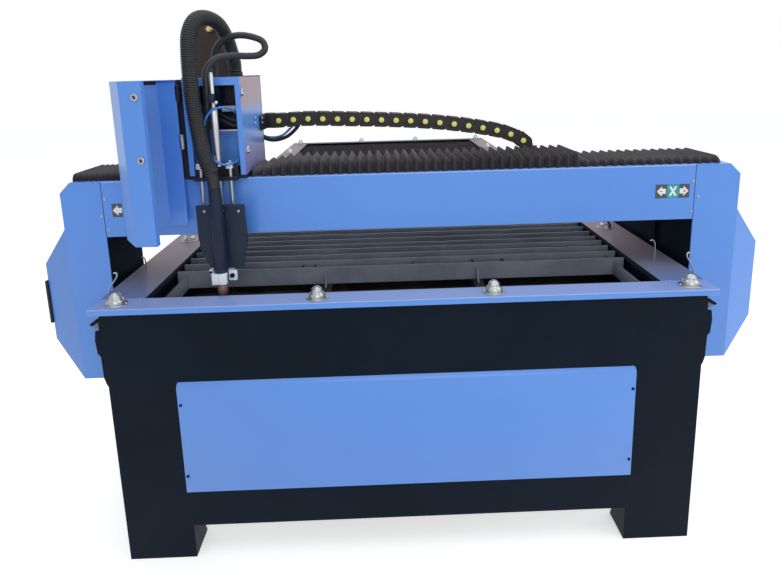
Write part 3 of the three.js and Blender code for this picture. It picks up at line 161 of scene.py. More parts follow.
def noiseOn(tree, scale, detail=4.0, rough=0.55, stretch=(1, 1, 1)):
    spot = node(tree, "ShaderNodeTexCoord")
    place = node(tree, "ShaderNodeMapping")
    place.inputs["Scale"].default_value = stretch
    tree.links.new(spot.outputs["Object"], place.inputs["Vector"])
    made = node(tree, "ShaderNodeTexNoise", Detail=detail, Roughness=rough)
    tree.links.new(place.outputs[0], made.inputs["Vector"])
    if isinstance(scale, (int, float)):
        made.inputs["Scale"].default_value = scale
    else:
        tree.links.new(scale, made.inputs["Scale"])
    return made.outputs["Fac"]


# edges that catch the light: a rounded normal, and a mask where it leaves the face, along which colours are
# lightened as worn paint and as painted highlight
def makeEdgeGroup():
    group, source, result = newGroup("edgeWearAndHighlight", [("Radius", "NodeSocketFloat", 0.002),
                                                  ("Break", "NodeSocketFloat", 60.0)],
                                     [("Normal", "NodeSocketVector"), ("Mask", "NodeSocketFloat")])
    bevel = node(group, "ShaderNodeBevel", samples=6)
    group.links.new(source.outputs["Radius"], bevel.inputs["Radius"])
    flat = node(group, "ShaderNodeNewGeometry")
    facing = node(group, "ShaderNodeVectorMath", operation="DOT_PRODUCT")
    group.links.new(bevel.outputs[0], facing.inputs[0])
    group.links.new(flat.outputs["Normal"], facing.inputs[1])
    edge = ramp(group, facing.outputs["Value"], 0.99, 0.8)
    broken = ramp(group, noiseOn(group, source.outputs["Break"]), 0.42, 0.62)
    group.links.new(mathNode(group, "MULTIPLY", edge, broken), result.inputs["Mask"])
    group.links.new(bevel.outputs[0], result.inputs["Normal"])
    return group


# dust that settles on what faces up
def makeDustGroup():
    group, source, result = newGroup("dust", [("Scale", "NodeSocketFloat", 9.0),
                                              ("Amount", "NodeSocketFloat", 0.5),
                                              ("Cover", "NodeSocketFloat", 0.0)],
                                     [("Mask", "NodeSocketFloat")])
    flat = node(group, "ShaderNodeNewGeometry")
    split = node(group, "ShaderNodeSeparateXYZ")
    group.links.new(flat.outputs["Normal"], split.inputs[0])
    up = ramp(group, split.outputs["Z"], 0.2, 1.0)
    cloud = ramp(group, noiseOn(group, source.outputs["Scale"], 6.0, 0.65), 0.35, 0.7)
    even = mathNode(group, "MAXIMUM", cloud, source.outputs["Cover"])
    settled = mathNode(group, "MULTIPLY", up, even)
    group.links.new(mathNode(group, "MULTIPLY", settled, source.outputs["Amount"]), result.inputs["Mask"])
    return group


# fine surface grain, as colour variation and as height
def makeGrainGroup():
    group, source, result = newGroup("grain", [("Scale", "NodeSocketFloat", 300.0),
                                               ("Patch", "NodeSocketFloat", 4.0)],
                                     [("Fine", "NodeSocketFloat"), ("Patches", "NodeSocketFloat")])
    group.links.new(noiseOn(group, source.outputs["Scale"], 3.0), result.inputs["Fine"])
    group.links.new(noiseOn(group, source.outputs["Patch"], 5.0, 0.6), result.inputs["Patches"])
    return group


edgeWearAndHighlight = makeEdgeGroup()
dust = makeDustGroup()
grain = makeGrainGroup()


def useGroup(tree, group, **values):
    made = node(tree, "ShaderNodeGroup", node_tree=group)
    for key, value in values.items():
        made.inputs[key].default_value = value
    return made


def finish(name, color, patchColor, rough, roughSpread=0.06, metal=0.0, coat=0.0, grainScale=300.0,
           patch=4.0, bump=0.02, bumpDepth=0.0002, edge=0.0015, edgeColor=None, edgeAmount=0.5,
           dustColor=(0.55, 0.56, 0.58, 1), dustAmount=0.2, dustCover=0.0, specular=0.5):
    # one painted, bare or moulded surface: patches, grain, rounded edges and a little dust
    material = bpy.data.materials.new(name)
    material.use_nodes = True
    tree = material.node_tree
    shader = tree.nodes["Principled BSDF"]
    if metal:
        shader.inputs["Metallic"].default_value = metal
    if coat:
        shader.inputs["Coat Weight"].default_value = coat
        shader.inputs["Coat Roughness"].default_value = 0.12
    shader.inputs["Specular IOR Level"].default_value = specular
    surface = useGroup(tree, grain, Scale=grainScale, Patch=patch)
    patches = ramp(tree, surface.outputs["Patches"], 0.35, 0.65)
    painted = mixColor(tree, patches, color, patchColor)
    rounded = useGroup(tree, edgeWearAndHighlight, Radius=edge)
    # edges lightened along the mask: worn paint and painted highlight
    if edgeColor:
        wornAndHighlit = mathNode(tree, "MULTIPLY", rounded.outputs["Mask"], edgeAmount)
        painted = mixColor(tree, wornAndHighlit, painted, edgeColor)
    settled = useGroup(tree, dust, Amount=dustAmount, Cover=dustCover)
    painted = mixColor(tree, settled.outputs["Mask"], painted, dustColor)
    tree.links.new(painted, shader.inputs["Base Color"])
    base = ramp(tree, surface.outputs["Patches"], 0.3, 0.7, rough - roughSpread, rough + roughSpread)
    dull = mathNode(tree, "MULTIPLY", settled.outputs["Mask"], 0.5)
    tree.links.new(mathNode(tree, "ADD", base, dull, True), shader.inputs["Roughness"])
    relief = node(tree, "ShaderNodeBump", Strength=bump * 10, Distance=bumpDepth)
    tree.links.new(surface.outputs["Fine"], relief.inputs["Height"])
    tree.links.new(rounded.outputs["Normal"], relief.inputs["Normal"])
    tree.links.new(relief.outputs[0], shader.inputs["Normal"])
    return material


# the machine's blue: its two shades, and the fine grain that all painted sheets share
blues = ((0.098, 0.285, 0.8, 1), (0.108, 0.3, 0.82, 1))
sheetGrain = {"grainScale": 420, "patch": 1.5, "bump": 0.012}
panelLook = {"coat": 0.15, "edgeColor": (0.33, 0.52, 0.92, 1), "edgeAmount": 0.4, "dustAmount": 0.12}

bluePaint = finish("bluePaint", *blues, 0.33, 0.02, **sheetGrain, **panelLook)
frontRailPaint = finish("frontRailPaint", *blues, 0.3, 0.03, **sheetGrain, coat=0.2,
                        edgeColor=(0.4, 0.58, 0.95, 1), edgeAmount=0.8,
                        dustColor=(0.27, 0.31, 0.5, 1), dustAmount=0.85, dustCover=0.75)
sideRailPaint = finish("sideRailPaint", *blues, 0.34, 0.03, **sheetGrain, coat=0.2,
                       edgeColor=(0.4, 0.55, 0.9, 1), edgeAmount=0.6,
                       dustColor=(0.125, 0.12, 0.165, 1), dustAmount=0.9, dustCover=0.8)
rearRailPaint = finish("rearRailPaint", (0.1, 0.2, 0.5, 1), (0.12, 0.2, 0.45, 1), 0.4, 0.03, **sheetGrain,
                       coat=0.1, edgeColor=(0.3, 0.3, 0.4, 1), edgeAmount=0.6,
                       dustColor=(0.13, 0.1, 0.1, 1), dustAmount=0.95, dustCover=0.9)
blackPaint = finish("blackPaint", (0.003, 0.0085, 0.018, 1), (0.005, 0.0115, 0.023, 1), 0.36,
                    specular=0.06, grainScale=380, bump=0.02, edgeColor=(0.04, 0.05, 0.075, 1),
                    edgeAmount=0.5, dustAmount=0.03)
slideBlack = finish("slideBlack", (0.014, 0.024, 0.045, 1), (0.02, 0.031, 0.056, 1), 0.5, specular=0.2,
                    grainScale=500, bump=0.04, edgeColor=(0.09, 0.11, 0.15, 1), dustAmount=0.05)
mattBlack = finish("mattBlack", (0.011, 0.0135, 0.021, 1), (0.016, 0.019, 0.028, 1), 0.5, specular=0.2,
                   grainScale=500, bump=0.04, edgeColor=(0.07, 0.08, 0.1, 1), dustAmount=0.06)
slatSteel = finish("slatSteel", (0.17, 0.195, 0.25, 1), (0.25, 0.285, 0.35, 1), 0.42, 0.1, metal=0.1,
                   grainScale=220, patch=7.0, bump=0.03, edgeColor=(0.3, 0.33, 0.38, 1), edgeAmount=0.4,
                   dustAmount=0.0, specular=0.2)
pitSteel = finish("pitSteel", (0.016, 0.013, 0.012, 1), (0.035, 0.026, 0.022, 1), 0.6, 0.1, specular=0.2,
                  grainScale=220, patch=9.0, bump=0.05, edgeColor=(0.08, 0.07, 0.065, 1), dustAmount=0.1)
brightSteel = finish("brightSteel", (0.3, 0.31, 0.32, 1), (0.42, 0.43, 0.44, 1), 0.36, 0.06, metal=1.0,
                     grainScale=600, bump=0.015, edgeColor=(0.6, 0.6, 0.62, 1), dustAmount=0.05)
zincPlate = finish("zincPlate", (0.31, 0.33, 0.335, 1), (0.44, 0.46, 0.465, 1), 0.33, 0.08, metal=1.0,
                   grainScale=500, patch=6.0, bump=0.01, edgeColor=(0.6, 0.6, 0.58, 1), dustAmount=0.05)
cylinderSteel = finish("cylinderSteel", (0.36, 0.37, 0.39, 1), (0.46, 0.47, 0.49, 1), 0.36, 0.05, metal=1.0,
                       grainScale=600, bump=0.015, edgeColor=(0.8, 0.8, 0.82, 1), dustAmount=0.03)
chainPlastic = finish("chainPlastic", (0.018, 0.0175, 0.018, 1), (0.028, 0.027, 0.027, 1), 0.5, specular=0.3,
                      grainScale=500, bump=0.05, edgeColor=(0.1, 0.08, 0.07, 1), dustAmount=0.15)
bellowsCloth = finish("bellowsCloth", (0.03, 0.0275, 0.033, 1), (0.043, 0.038, 0.044, 1), 0.6, specular=0.2,
                      grainScale=900, bump=0.06, edge=0.0012, edgeColor=(0.11, 0.1, 0.105, 1), edgeAmount=0.8,
                      dustAmount=0.12)
whiteBlock = finish("whiteBlock", (0.62, 0.65, 0.72, 1), (0.7, 0.73, 0.8, 1), 0.4, metal=0.1,
                    grainScale=700, bump=0.03, edgeColor=(0.85, 0.86, 0.9, 1), dustAmount=0.08)
copperTip = finish("copperTip", (0.2, 0.105, 0.075, 1), (0.12, 0.07, 0.052, 1), 0.42, 0.1, metal=0.5,
                   grainScale=300, patch=60.0, bump=0.03, edgeColor=(0.42, 0.27, 0.2, 1), dustAmount=0.0)
brassFitting = finish("brassFitting", (0.5, 0.36, 0.14, 1), (0.58, 0.43, 0.19, 1), 0.3, 0.06, metal=1.0,
                      grainScale=300, patch=60.0, bump=0.02, edgeColor=(0.8, 0.66, 0.36, 1), dustAmount=0.0)
hoseRubber = finish("hoseRubber", (0.009, 0.011, 0.014, 1), (0.016, 0.018, 0.022, 1), 0.42, specular=0.35,
                    grainScale=700, bump=0.04, edgeColor=(0.06, 0.065, 0.07, 1), dustAmount=0.12)
torchPlastic = finish("torchPlastic", (0.007, 0.015, 0.035, 1), (0.011, 0.02, 0.045, 1), 0.42, specular=0.2,
                      grainScale=600, bump=0.03, edgeColor=(0.05, 0.055, 0.07, 1), dustAmount=0.05)
airTube = finish("airTube", (0.02, 0.17, 0.62, 1), (0.03, 0.22, 0.7, 1), 0.3, grainScale=600, bump=0.01,
                 edgeColor=(0.2, 0.4, 0.8, 1), dustAmount=0.0)
greyPart = finish("greyPart", (0.3, 0.32, 0.35, 1), (0.38, 0.4, 0.43, 1), 0.45, grainScale=500, bump=0.03,
                  edgeColor=(0.5, 0.52, 0.55, 1), dustAmount=0.1)
brownSteel = finish("brownSteel", (0.034, 0.022, 0.018, 1), (0.045, 0.03, 0.025, 1), 0.45, specular=0.25,
                    grainScale=380, bump=0.02, edgeColor=(0.1, 0.08, 0.07, 1), dustAmount=0.05)
signFilm = {"grainScale": 600, "bump": 0.005, "dustAmount": 0.05}
signGrey = finish("signGrey", (0.045, 0.06, 0.065, 1), (0.055, 0.07, 0.075, 1), 0.4, **signFilm,
                  edgeColor=(0.2, 0.22, 0.22, 1))
signTeal = finish("signTeal", (0.02, 0.3, 0.33, 1), (0.03, 0.34, 0.36, 1), 0.4, **signFilm,
                  edgeColor=(0.2, 0.5, 0.5, 1))
signWhite = finish("signWhite", (0.78, 0.8, 0.82, 1), (0.84, 0.86, 0.88, 1), 0.4, **signFilm,
                   edgeColor=(0.9, 0.9, 0.9, 1))
# lighter blue for the folded edges: painted highlight
edgeHighlightPaint = finish("edgeHighlightPaint", (0.26, 0.44, 0.84, 1), (0.3, 0.48, 0.88, 1), 0.3, coat=0.2, grainScale=420,
                   bump=0.01, edgeColor=(0.5, 0.66, 0.95, 1), dustAmount=0.05)
guideEndPaint = finish("guideEndPaint", (0.12, 0.125, 0.13, 1), (0.2, 0.2, 0.21, 1), 0.5, grainScale=500,
                       bump=0.03, edgeColor=(0.3, 0.3, 0.3, 1), dustAmount=0.1)
signRed = finish("signRed", (0.55, 0.03, 0.03, 1), (0.6, 0.04, 0.04, 1), 0.4, **signFilm,
                 edgeColor=(0.7, 0.2, 0.2, 1))


def tintWhere(material, color, direction, axis, start, end, low=None):
    # colours what faces one way, from start to end along an axis in metres
    tree = material.node_tree
    shader = tree.nodes["Principled BSDF"]
    before = shader.inputs["Base Color"].links[0].from_socket
    flat = node(tree, "ShaderNodeNewGeometry")
    facing = node(tree, "ShaderNodeVectorMath", operation="DOT_PRODUCT")
    facing.inputs[1].default_value = direction
    tree.links.new(flat.outputs["Normal"], facing.inputs[0])
    aside = ramp(tree, facing.outputs["Value"], 0.7, 0.9)
    spot = node(tree, "ShaderNodeTexCoord")
    split = node(tree, "ShaderNodeSeparateXYZ")
    tree.links.new(spot.outputs["Object"], split.inputs[0])
    upper = ramp(tree, split.outputs[axis], start, end)
    if low:
        lower = ramp(tree, split.outputs[axis], low + 0.03, low - 0.04, 0, 0.6)
        upper = mathNode(tree, "MAXIMUM", upper, lower)
    mask = mathNode(tree, "MULTIPLY", aside, upper)
    tree.links.new(mixColor(tree, mask, before, color), shader.inputs["Base Color"])


headPaint = finish("headPaint", *blues, 0.33, 0.02, **sheetGrain, **panelLook)
# the head's side takes on the warm light of the room, above and below its middle
tintWhere(headPaint, (0.31, 0.2, 0.29, 1), (1, 0, 0), "Z", 1.242, 1.282, low=1.17)
# painted shade: darker tops on all the slats, and slat tops and fronts darker towards the rear
tintWhere(slatSteel, (0.1, 0.118, 0.15, 1), (0, 0, 1), "Y", -9, -8)
# painted shade: the slats' tops and fronts darken towards the rear
for direction in ((0, 0, 1), (0, -1, 0)):
    tintWhere(slatSteel, (0.03, 0.026, 0.03, 1), direction, "Y", -0.6, 0.1)
# the left end cover's slanted side lies in shade, and the side rails are greyer past the gantry
tintWhere(bluePaint, (0.045, 0.135, 0.46, 1), (-0.85, -0.5, 0), "X", -0.85, -0.87)
tintWhere(sideRailPaint, (0.2, 0.165, 0.205, 1), (0, 0, 1), "Y", -1.38, -1.2)

slotMaterials = {"blue_paint": bluePaint, "black_paint": blackPaint, "slat_steel": slatSteel,
                 "bright_steel": brightSteel, "zinc": zincPlate, "chain_plastic": chainPlastic,
                 "bellows_cloth": bellowsCloth, "white_block": whiteBlock, "copper": copperTip,
                 "black_rubber": hoseRubber, "torch_plastic": torchPlastic}
nodeSlots = {part["node"]: part["material_slot"] for part in frame["record"]["subparts"]}
for nodeName, nodeObject in frame["nodes"].items():
    for materialSlot in nodeObject.material_slots:
        materialSlot.material = slotMaterials[nodeSlots[nodeName]]
ownMaterials = {"slide_plate": slideBlack, "carriage_plate": mattBlack, "slat_support": pitSteel,
                "head_housing": headPaint}
for nodeName, material in ownMaterials.items():
    for materialSlot in frame["nodes"][nodeName].material_slots:
        materialSlot.material = material
print("materials on", len(frame["nodes"]), "CAD nodes")


# shape helpers: every piece is made in millimetres on the table and then brought to the model
toModel = Matrix.Translation((tableMiddle, tableFront, 0)) @ Matrix.Scale(0.001, 4)


def addPiece(name, bm, body, materials, replaces=(), blendTo=None, smooth=35):
    bmesh.ops.transform(bm, matrix=toModel, verts=bm.verts)
    mesh = bpy.data.meshes.new(name)
    bm.to_mesh(mesh)
    bm.free()
    for material in materials:
        mesh.materials.append(material)
    if smooth:
        for face in mesh.polygons:
            face.use_smooth = True
        mesh.set_sharp_from_angle(angle=math.radians(smooth))
    piece = bpy.data.objects.new(name, mesh)
    bpy.context.collection.objects.link(piece)
    if blendTo:
        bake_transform(piece)
    else:
        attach(piece, body)
    if replaces:
        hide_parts(*replaces)
    return piece


def stampOf(bm):
    mesh = bpy.data.meshes.new("stamp")
    bm.to_mesh(mesh)
    bm.free()
    return mesh


def putStamp(bm, mesh, matrix, material=0):
    firstVert, firstFace = len(bm.verts), len(bm.faces)
    bm.from_mesh(mesh)
    bm.verts.ensure_lookup_table()
    bm.faces.ensure_lookup_table()
    bmesh.ops.transform(bm, matrix=matrix, verts=bm.verts[firstVert:])
    if material:
        for face in bm.faces[firstFace:]:
            face.material_index = material


def roundEdges(bm, offset, segments=2):
    bmesh.ops.bevel(bm, geom=bm.edges[:], offset=offset, offset_type="OFFSET", segments=segments,
                    profile=0.5, affect="EDGES", material=-1, clamp_overlap=True)


def blockStamp(size, rounding=0.0, segments=2):
    bm = bmesh.new()
    bmesh.ops.create_cube(bm, size=1)
    bmesh.ops.scale(bm, vec=size, verts=bm.verts)
    if rounding:
        roundEdges(bm, rounding, segments)
    return stampOf(bm)


def turnedStamp(profile, sides=32):
    # an open profile of (radius, height) spun about its own upright axis
    bm = bmesh.new()
    points = [bm.verts.new((radius, 0, height)) for radius, height in profile]
    edges = [bm.edges.new(pair) for pair in zip(points, points[1:])]
    bmesh.ops.spin(bm, geom=points + edges, cent=(0, 0, 0), axis=(0, 0, 1), dvec=(0, 0, 0),
                   angle=math.tau, steps=sides, use_merge=True, use_duplicate=False)
    bmesh.ops.remove_doubles(bm, verts=bm.verts, dist=0.001)
    bmesh.ops.recalc_face_normals(bm, faces=bm.faces)
    return stampOf(bm)


def move(x, y, z):
    return Matrix.Translation((x, y, z))


def turn(degrees, axis):
    return Matrix.Rotation(math.radians(degrees), 4, axis)


def smoothRoute(points, steps=10):
    # the same rounded route through the points as the solid's, as a dense line
    knots = [Vector(point) for point in points]
    knots = [knots[0] * 2 - knots[1]] + knots + [knots[-1] * 2 - knots[-2]]
    line = []
    for a, b, c, d in zip(knots, knots[1:], knots[2:], knots[3:]):
        ab, bc, cd = [max((q - p).length ** 0.5, 1e-4) for p, q in ((a, b), (b, c), (c, d))]
        outB = ((b - a) / ab - (c - a) / (ab + bc) + (c - b) / bc) * bc
        outC = ((c - b) / bc - (d - b) / (bc + cd) + (d - c) / cd) * bc
        for step in range(steps):
            t = step / steps
            line.append(b * (2 * t ** 3 - 3 * t ** 2 + 1) + outB * (t ** 3 - 2 * t ** 2 + t)
                        + c * (3 * t ** 2 - 2 * t ** 3) + outC * (t ** 3 - t ** 2))
    line.append(knots[-2])
    return line


def routeFrames(line):
    # distance, place and two cross directions at each point, turning as little as they can
    frames = []
    side = Vector((1, 0, 0))
    distance = 0
    for i, point in enumerate(line):
        ahead = (line[min(i + 1, len(line) - 1)] - line[max(i - 1, 0)]).normalized()
        if i:
            distance += (point - line[i - 1]).length
        side = (side - ahead * side.dot(ahead)).normalized()
        frames.append((distance, point, side, ahead.cross(side)))
    return frames


def bendAlong(bm, frames):
    # lays a form that stands along Z from 0 on the route
    spot = 0
    for vert in sorted(bm.verts, key=lambda v: v.co.z):
        while spot < len(frames) - 2 and frames[spot + 1][0] < vert.co.z:
            spot += 1
        here, there = frames[spot], frames[spot + 1]
        share = (vert.co.z - here[0]) / max(there[0] - here[0], 1e-6)
        centre, side, up = [here[k].lerp(there[k], share) for k in (1, 2, 3)]
        vert.co = centre + side * vert.co.x + up * vert.co.y


def ringTube(rings, sides):
    # a tube that stands along Z, through rings of (height, radius)
    bm = bmesh.new()
    height, radius = rings[0]
    bmesh.ops.create_circle(bm, segments=sides, radius=radius, cap_ends=False)
    bmesh.ops.translate(bm, vec=(0, 0, height), verts=bm.verts)
    edges = bm.edges[:]
    for nextHeight, nextRadius in rings[1:]:
        made = bmesh.ops.extrude_edge_only(bm, edges=edges)["geom"]
        verts = [g for g in made if isinstance(g, bmesh.types.BMVert)]
        edges = [g for g in made if isinstance(g, bmesh.types.BMEdge)]
        grow = nextRadius / radius
        bmesh.ops.scale(bm, vec=(grow, grow, 1), verts=verts)
        bmesh.ops.translate(bm, vec=(0, 0, nextHeight - height), verts=verts)
        height, radius = nextHeight, nextRadius
    bmesh.ops.recalc_face_normals(bm, faces=bm.faces)
    return bm


hose = {"crest": 20, "valley": 17.7, "pitch": 5.8, "sides": 28, "bore": 14, "sleeve": 15.2,
        "sleeveLength": 42,
        "route": [(-498, 76, 1060.3), (-499, 76, 1082), (-503, 76, 1103), (-511, 77, 1124), (-520, 78, 1158),
                  (-529, 79, 1221), (-535, 80, 1290), (-537, 82, 1353), (-537, 86, 1410), (-535, 98, 1462),
                  (-527, 126, 1496), (-514, 166, 1506.9), (-497, 208, 1495.5), (-488, 246, 1461),
                  (-484, 275, 1415), (-484, 292, 1383), (-484, 292, 1363.3)],
        "fixedEnd": (-484, 290, 1380), "movingEnd": (-498, 76, 1080)}


def makeHose():
    frames = routeFrames(smoothRoute(hose["route"]))
    length = frames[-1][0]
    first = hose["sleeveLength"]
    ribs = round((length - first) / hose["pitch"])
    pitch = (length - first) / ribs
    rings = [(0, hose["bore"]), (0.01, hose["sleeve"])]
    rings += [(first * k / 6, hose["sleeve"]) for k in range(1, 6)]
    for rib in range(ribs):
        start = first + rib * pitch
        rings += [(start + pitch * 0.12, hose["valley"]), (start + pitch * 0.3, hose["crest"]),
                  (start + pitch * 0.7, hose["crest"]), (start + pitch * 0.88, hose["valley"])]
    rings += [(length - 0.01, hose["valley"]), (length, hose["bore"])]
    bm = ringTube(rings, hose["sides"])
    bendAlong(bm, frames)
    bmesh.ops.recalc_face_normals(bm, faces=bm.faces)
    piece = addPiece("corrugatedHose", bm, "carriage", [hoseRubber], ["torch_hose"],
                     blendTo=("z_slide", hose["fixedEnd"], hose["movingEnd"]), smooth=50)


lead = {"radius": 9, "sides": 20, "ringEvery": 7,
        "route": [(-535, 156, 1080.8), (-535, 156, 1110), (-533, 152, 1165), (-527, 139, 1200),
                  (-517, 121, 1239), (-511, 116, 1280), (-510, 117, 1325), (-509, 124, 1368),
                  (-486, 138, 1397), (-450, 158, 1405), (-412, 178, 1404), (-385, 190, 1407),
                  (-369, 197, 1422), (-374, 200, 1443), (-400, 200, 1456), (-440, 200, 1462),
                  (-478, 200, 1453), (-503, 201, 1430), (-514, 206, 1400), (-516, 210, 1374),
                  (-516, 210, 1349.3)]}


def makeLead():
    frames = routeFrames(smoothRoute(lead["route"]))
    length = frames[-1][0]
    count = round(length / lead["ringEvery"])
    rings = [(length * i / count, lead["radius"] + 0.25 * (i % 2)) for i in range(count + 1)]
    bm = ringTube(rings, lead["sides"])
    bendAlong(bm, frames)
    bmesh.ops.recalc_face_normals(bm, faces=bm.faces)
    piece = addPiece("torchLead", bm, "carriage", [hoseRubber], ["torch_lead"])


makeHose()
makeLead()
print("hose and lead made")


bellows = {"front": 168, "rear": 335, "base": 1068.3, "high": 1112.3, "low": 1090.3, "lowFrom": 524,
           "sagLength": 110, "fold": 20, "corner": 16, "headLeft": -601.3, "headRight": -429.7, "end": 930,
           "pitch": 27.2, "shortPitch": 16, "sheet": 1.2,
           "foldLine": [(0.03, 1.0), (0.31, 0.1), (0.36, 0.0), (0.41, 0.06), (0.97, 1.0)]}


def bellowsTop(x):
    if x < 0 and x < bellows["headLeft"] + 1 or x > bellows["lowFrom"]:
        return bellows["low"]
    sag = min(1, (x - bellows["headRight"]) / bellows["sagLength"])
    return bellows["low"] + (bellows["high"] - bellows["low"]) * sag


def makeBellows(name, start, end, pitch, replaced, blendTo):
    # one sheet folded over frames: rings of an open, round-cornered arch drawn out along X
    folds = round((end - start) / pitch)
    stops = []
    for i in range(folds):
        a = start + (end - start) * i / folds
        b = start + (end - start) * (i + 1) / folds
        stops += [(a + (b - a) * share, depth) for share, depth in bellows["foldLine"]]
    corner = bellows["corner"]
    front, rear, base = bellows["front"], bellows["rear"], bellows["base"]
    bm = bmesh.new()
    # the arch's marks: x is 0 for its two feet and 1 above them, z is counted down from the crest
    marks = [Vector((0, front, 0))]
    for y, sign, first in ((front, 1, 180), (rear, -1, 90)):
        centre = y + sign * corner
        for k in range(4):
            angle = math.radians(first - 30 * k)
            marks.append(Vector((1, centre + corner * math.cos(angle), corner * math.sin(angle) - corner)))
    marks.append(Vector((0, rear, 0)))
    ring = [bm.verts.new((start, mark.y, base)) for mark in marks]
    edges = [bm.edges.new(pair) for pair in zip(ring, ring[1:])]

    def setRing(ring, x, depth):
        crest = bellowsTop(x) - min(bellows["fold"], (bellowsTop(x) - base) / 2.4) * depth
        inset = bellows["fold"] * 0.7 * depth
        for vert, mark in zip(ring, marks):
            y = mark.y + (inset if mark.y < (front + rear) / 2 else -inset)
            z = crest + mark.z if mark.x else base
            vert.co = (x, y, z)

    setRing(ring, *stops[0])
    for x, depth in stops[1:]:
        made = bmesh.ops.extrude_edge_only(bm, edges=edges)["geom"]
        edges = [g for g in made if isinstance(g, bmesh.types.BMEdge)]
        ring = [[e.other_vert(vert) for e in vert.link_edges if e.other_vert(vert) in made][0]
                for vert in ring]
        setRing(ring, x, depth)
    bmesh.ops.recalc_face_normals(bm, faces=bm.faces)
    bmesh.ops.solidify(bm, geom=bm.faces[:], thickness=bellows["sheet"])
    addPiece(name, bm, "gantry", [bellowsCloth], [replaced], blendTo=blendTo, smooth=40)


# both are given blend ends, from the gantry's ends to the carriage, and are baked in place unattached
makeBellows("rightBellows", bellows["headRight"], bellows["end"], bellows["pitch"], "right_bellows",
            ("carriage", (bellows["end"], 250, 1090), (bellows["headRight"], 250, 1090)))
makeBellows("leftBellows", -bellows["end"], bellows["headLeft"], bellows["shortPitch"], "left_bellows",
            ("carriage", (-bellows["end"], 250, 1080), (bellows["headLeft"], 250, 1080)))
print("bellows made")


# plates cut from an outline in (x, z), with their thickness along y
def plateForm(outline, thickness, rounding=0.0, slope=0.0):
    bm = bmesh.new()
    face = bm.faces.new([bm.verts.new((x, 0, z)) for x, z in outline])
    made = bmesh.ops.extrude_face_region(bm, geom=[face])["geom"]
    verts = [g for g in made if isinstance(g, bmesh.types.BMVert)]
    bmesh.ops.translate(bm, vec=(0, thickness, 0), verts=verts)
    for vert in bm.verts:
        vert.co.y += slope * vert.co.x
    bmesh.ops.recalc_face_normals(bm, faces=bm.faces)
    if rounding:
        roundEdges(bm, rounding, 1)
    return stampOf(bm)


def arcPoints(cx, cz, radius, first, last, count):
    return [(cx + radius * math.cos(math.radians(first + (last - first) * k / count)),
             cz + radius * math.sin(math.radians(first + (last - first) * k / count)))
            for k in range(count + 1)]


# cable chains: shingled side plates on cross bars, with a round cap on each link
chain = {"tall": 46, "wide": 49, "plate": 3.4, "overlap": 9, "shingle": 0.03, "boss": 12.5, "bossHeight": 1.2,
         "dot": 8.6, "dotHeight": 2.0, "barLength": 0.62, "bar": 3.5, "barInset": 3,
         "hoses": [(-11, 7.5), (7, 9)]}
dotYellow = finish("dotYellow", (0.78, 0.8, 0.16, 1), (0.86, 0.86, 0.25, 1), 0.42, grainScale=500,
                   edgeColor=(0.85, 0.86, 0.5, 1), dustAmount=0.12)


def chainLinkStamp(pitch, dots=True):
    bm = bmesh.new()
    half = chain["tall"] / 2
    reach = pitch / 2 + chain["overlap"] - half
    outline = [(-pitch / 2 + 0.4, -half), *arcPoints(reach, 0, half, -90, 90, 14), (-pitch / 2 + 0.4, half)]
    edgeY = chain["wide"] / 2 - chain["shingle"] * pitch * 0.6
    near = plateForm(outline, chain["plate"], 0.7, -chain["shingle"])
    far = plateForm(outline, chain["plate"], 0.7, chain["shingle"])
    putStamp(bm, near, move(0, -edgeY, 0))
    putStamp(bm, far, move(0, edgeY - chain["plate"], 0))
    wide, height = chain["boss"], chain["bossHeight"]
    boss = turnedStamp([(0, height), (wide - 1, height), (wide, 0)], 24)
    wide, height = chain["dot"], chain["dotHeight"]
    dot = turnedStamp([(0, height + 0.5), (wide * 0.6, height + 0.3), (wide, height - 0.6), (wide, 0)], 24)
    tilt = math.degrees(math.atan(chain["shingle"]))
    for side in (-1, 1) if dots else ():
        face = move(0, side * edgeY, 0) @ turn(side * tilt, "Z") @ turn(side * -90, "X")
        putStamp(bm, boss, face)
        putStamp(bm, dot, face, 1)
    bar = blockStamp((pitch * chain["barLength"], 2 * edgeY, chain["bar"]), 0.8)
    for side in (1, -1):
        putStamp(bm, bar, move(0, 0, side * (half - chain["barInset"])))
    return stampOf(bm)


def layChain(name, route, across, pitch, body, replaced, parts, skip):
    # lays links on one route and shares them out to three pieces: each part is (links, blendTo, dots)
    line = smoothRoute(route, 12)
    lengths = [0.0]
    for a, b in zip(line, line[1:]):
        lengths.append(lengths[-1] + (b - a).length)
    count = round((lengths[-1] - skip) / pitch)
    step = (lengths[-1] - skip) / count
    across = Vector(across)
    first = 0
    for number, (links, blendTo, dots) in enumerate(parts):
        last = min(first + links, count)
        stamp = chainLinkStamp(pitch, dots)
        bm = bmesh.new()
        for i in range(first, last):
            wanted = skip + step * (i + 0.5)
            spot = max(k for k, length in enumerate(lengths[:-1]) if length <= wanted)
            share = (wanted - lengths[spot]) / (lengths[spot + 1] - lengths[spot])
            centre = line[spot].lerp(line[spot + 1], share)
            ahead = (line[min(spot + 2, len(line) - 1)] - line[max(spot - 1, 0)]).normalized()
            up = ahead.cross(across).normalized()
            frame = Matrix((ahead, across, up)).transposed().to_4x4()
            putStamp(bm, stamp, Matrix.Translation(centre) @ frame)
        low = skip + step * first if number else 0
        rings = (last - first) * 2
        long = skip + step * last - low
        for side, radius in chain["hoses"]:
            tube = ringTube([(low + long * k / rings, radius) for k in range(rings + 1)], 10)
            bendAlongFlat(tube, line, lengths, across, side)
            putStamp(bm, stampOf(tube), Matrix.Identity(4), 2)
        addPiece(name + ("Upper", "Loop", "Lower")[number], bm, body,
                 [chainPlastic, dotYellow, hoseRubber], () if number else replaced, blendTo=blendTo)
        first = last


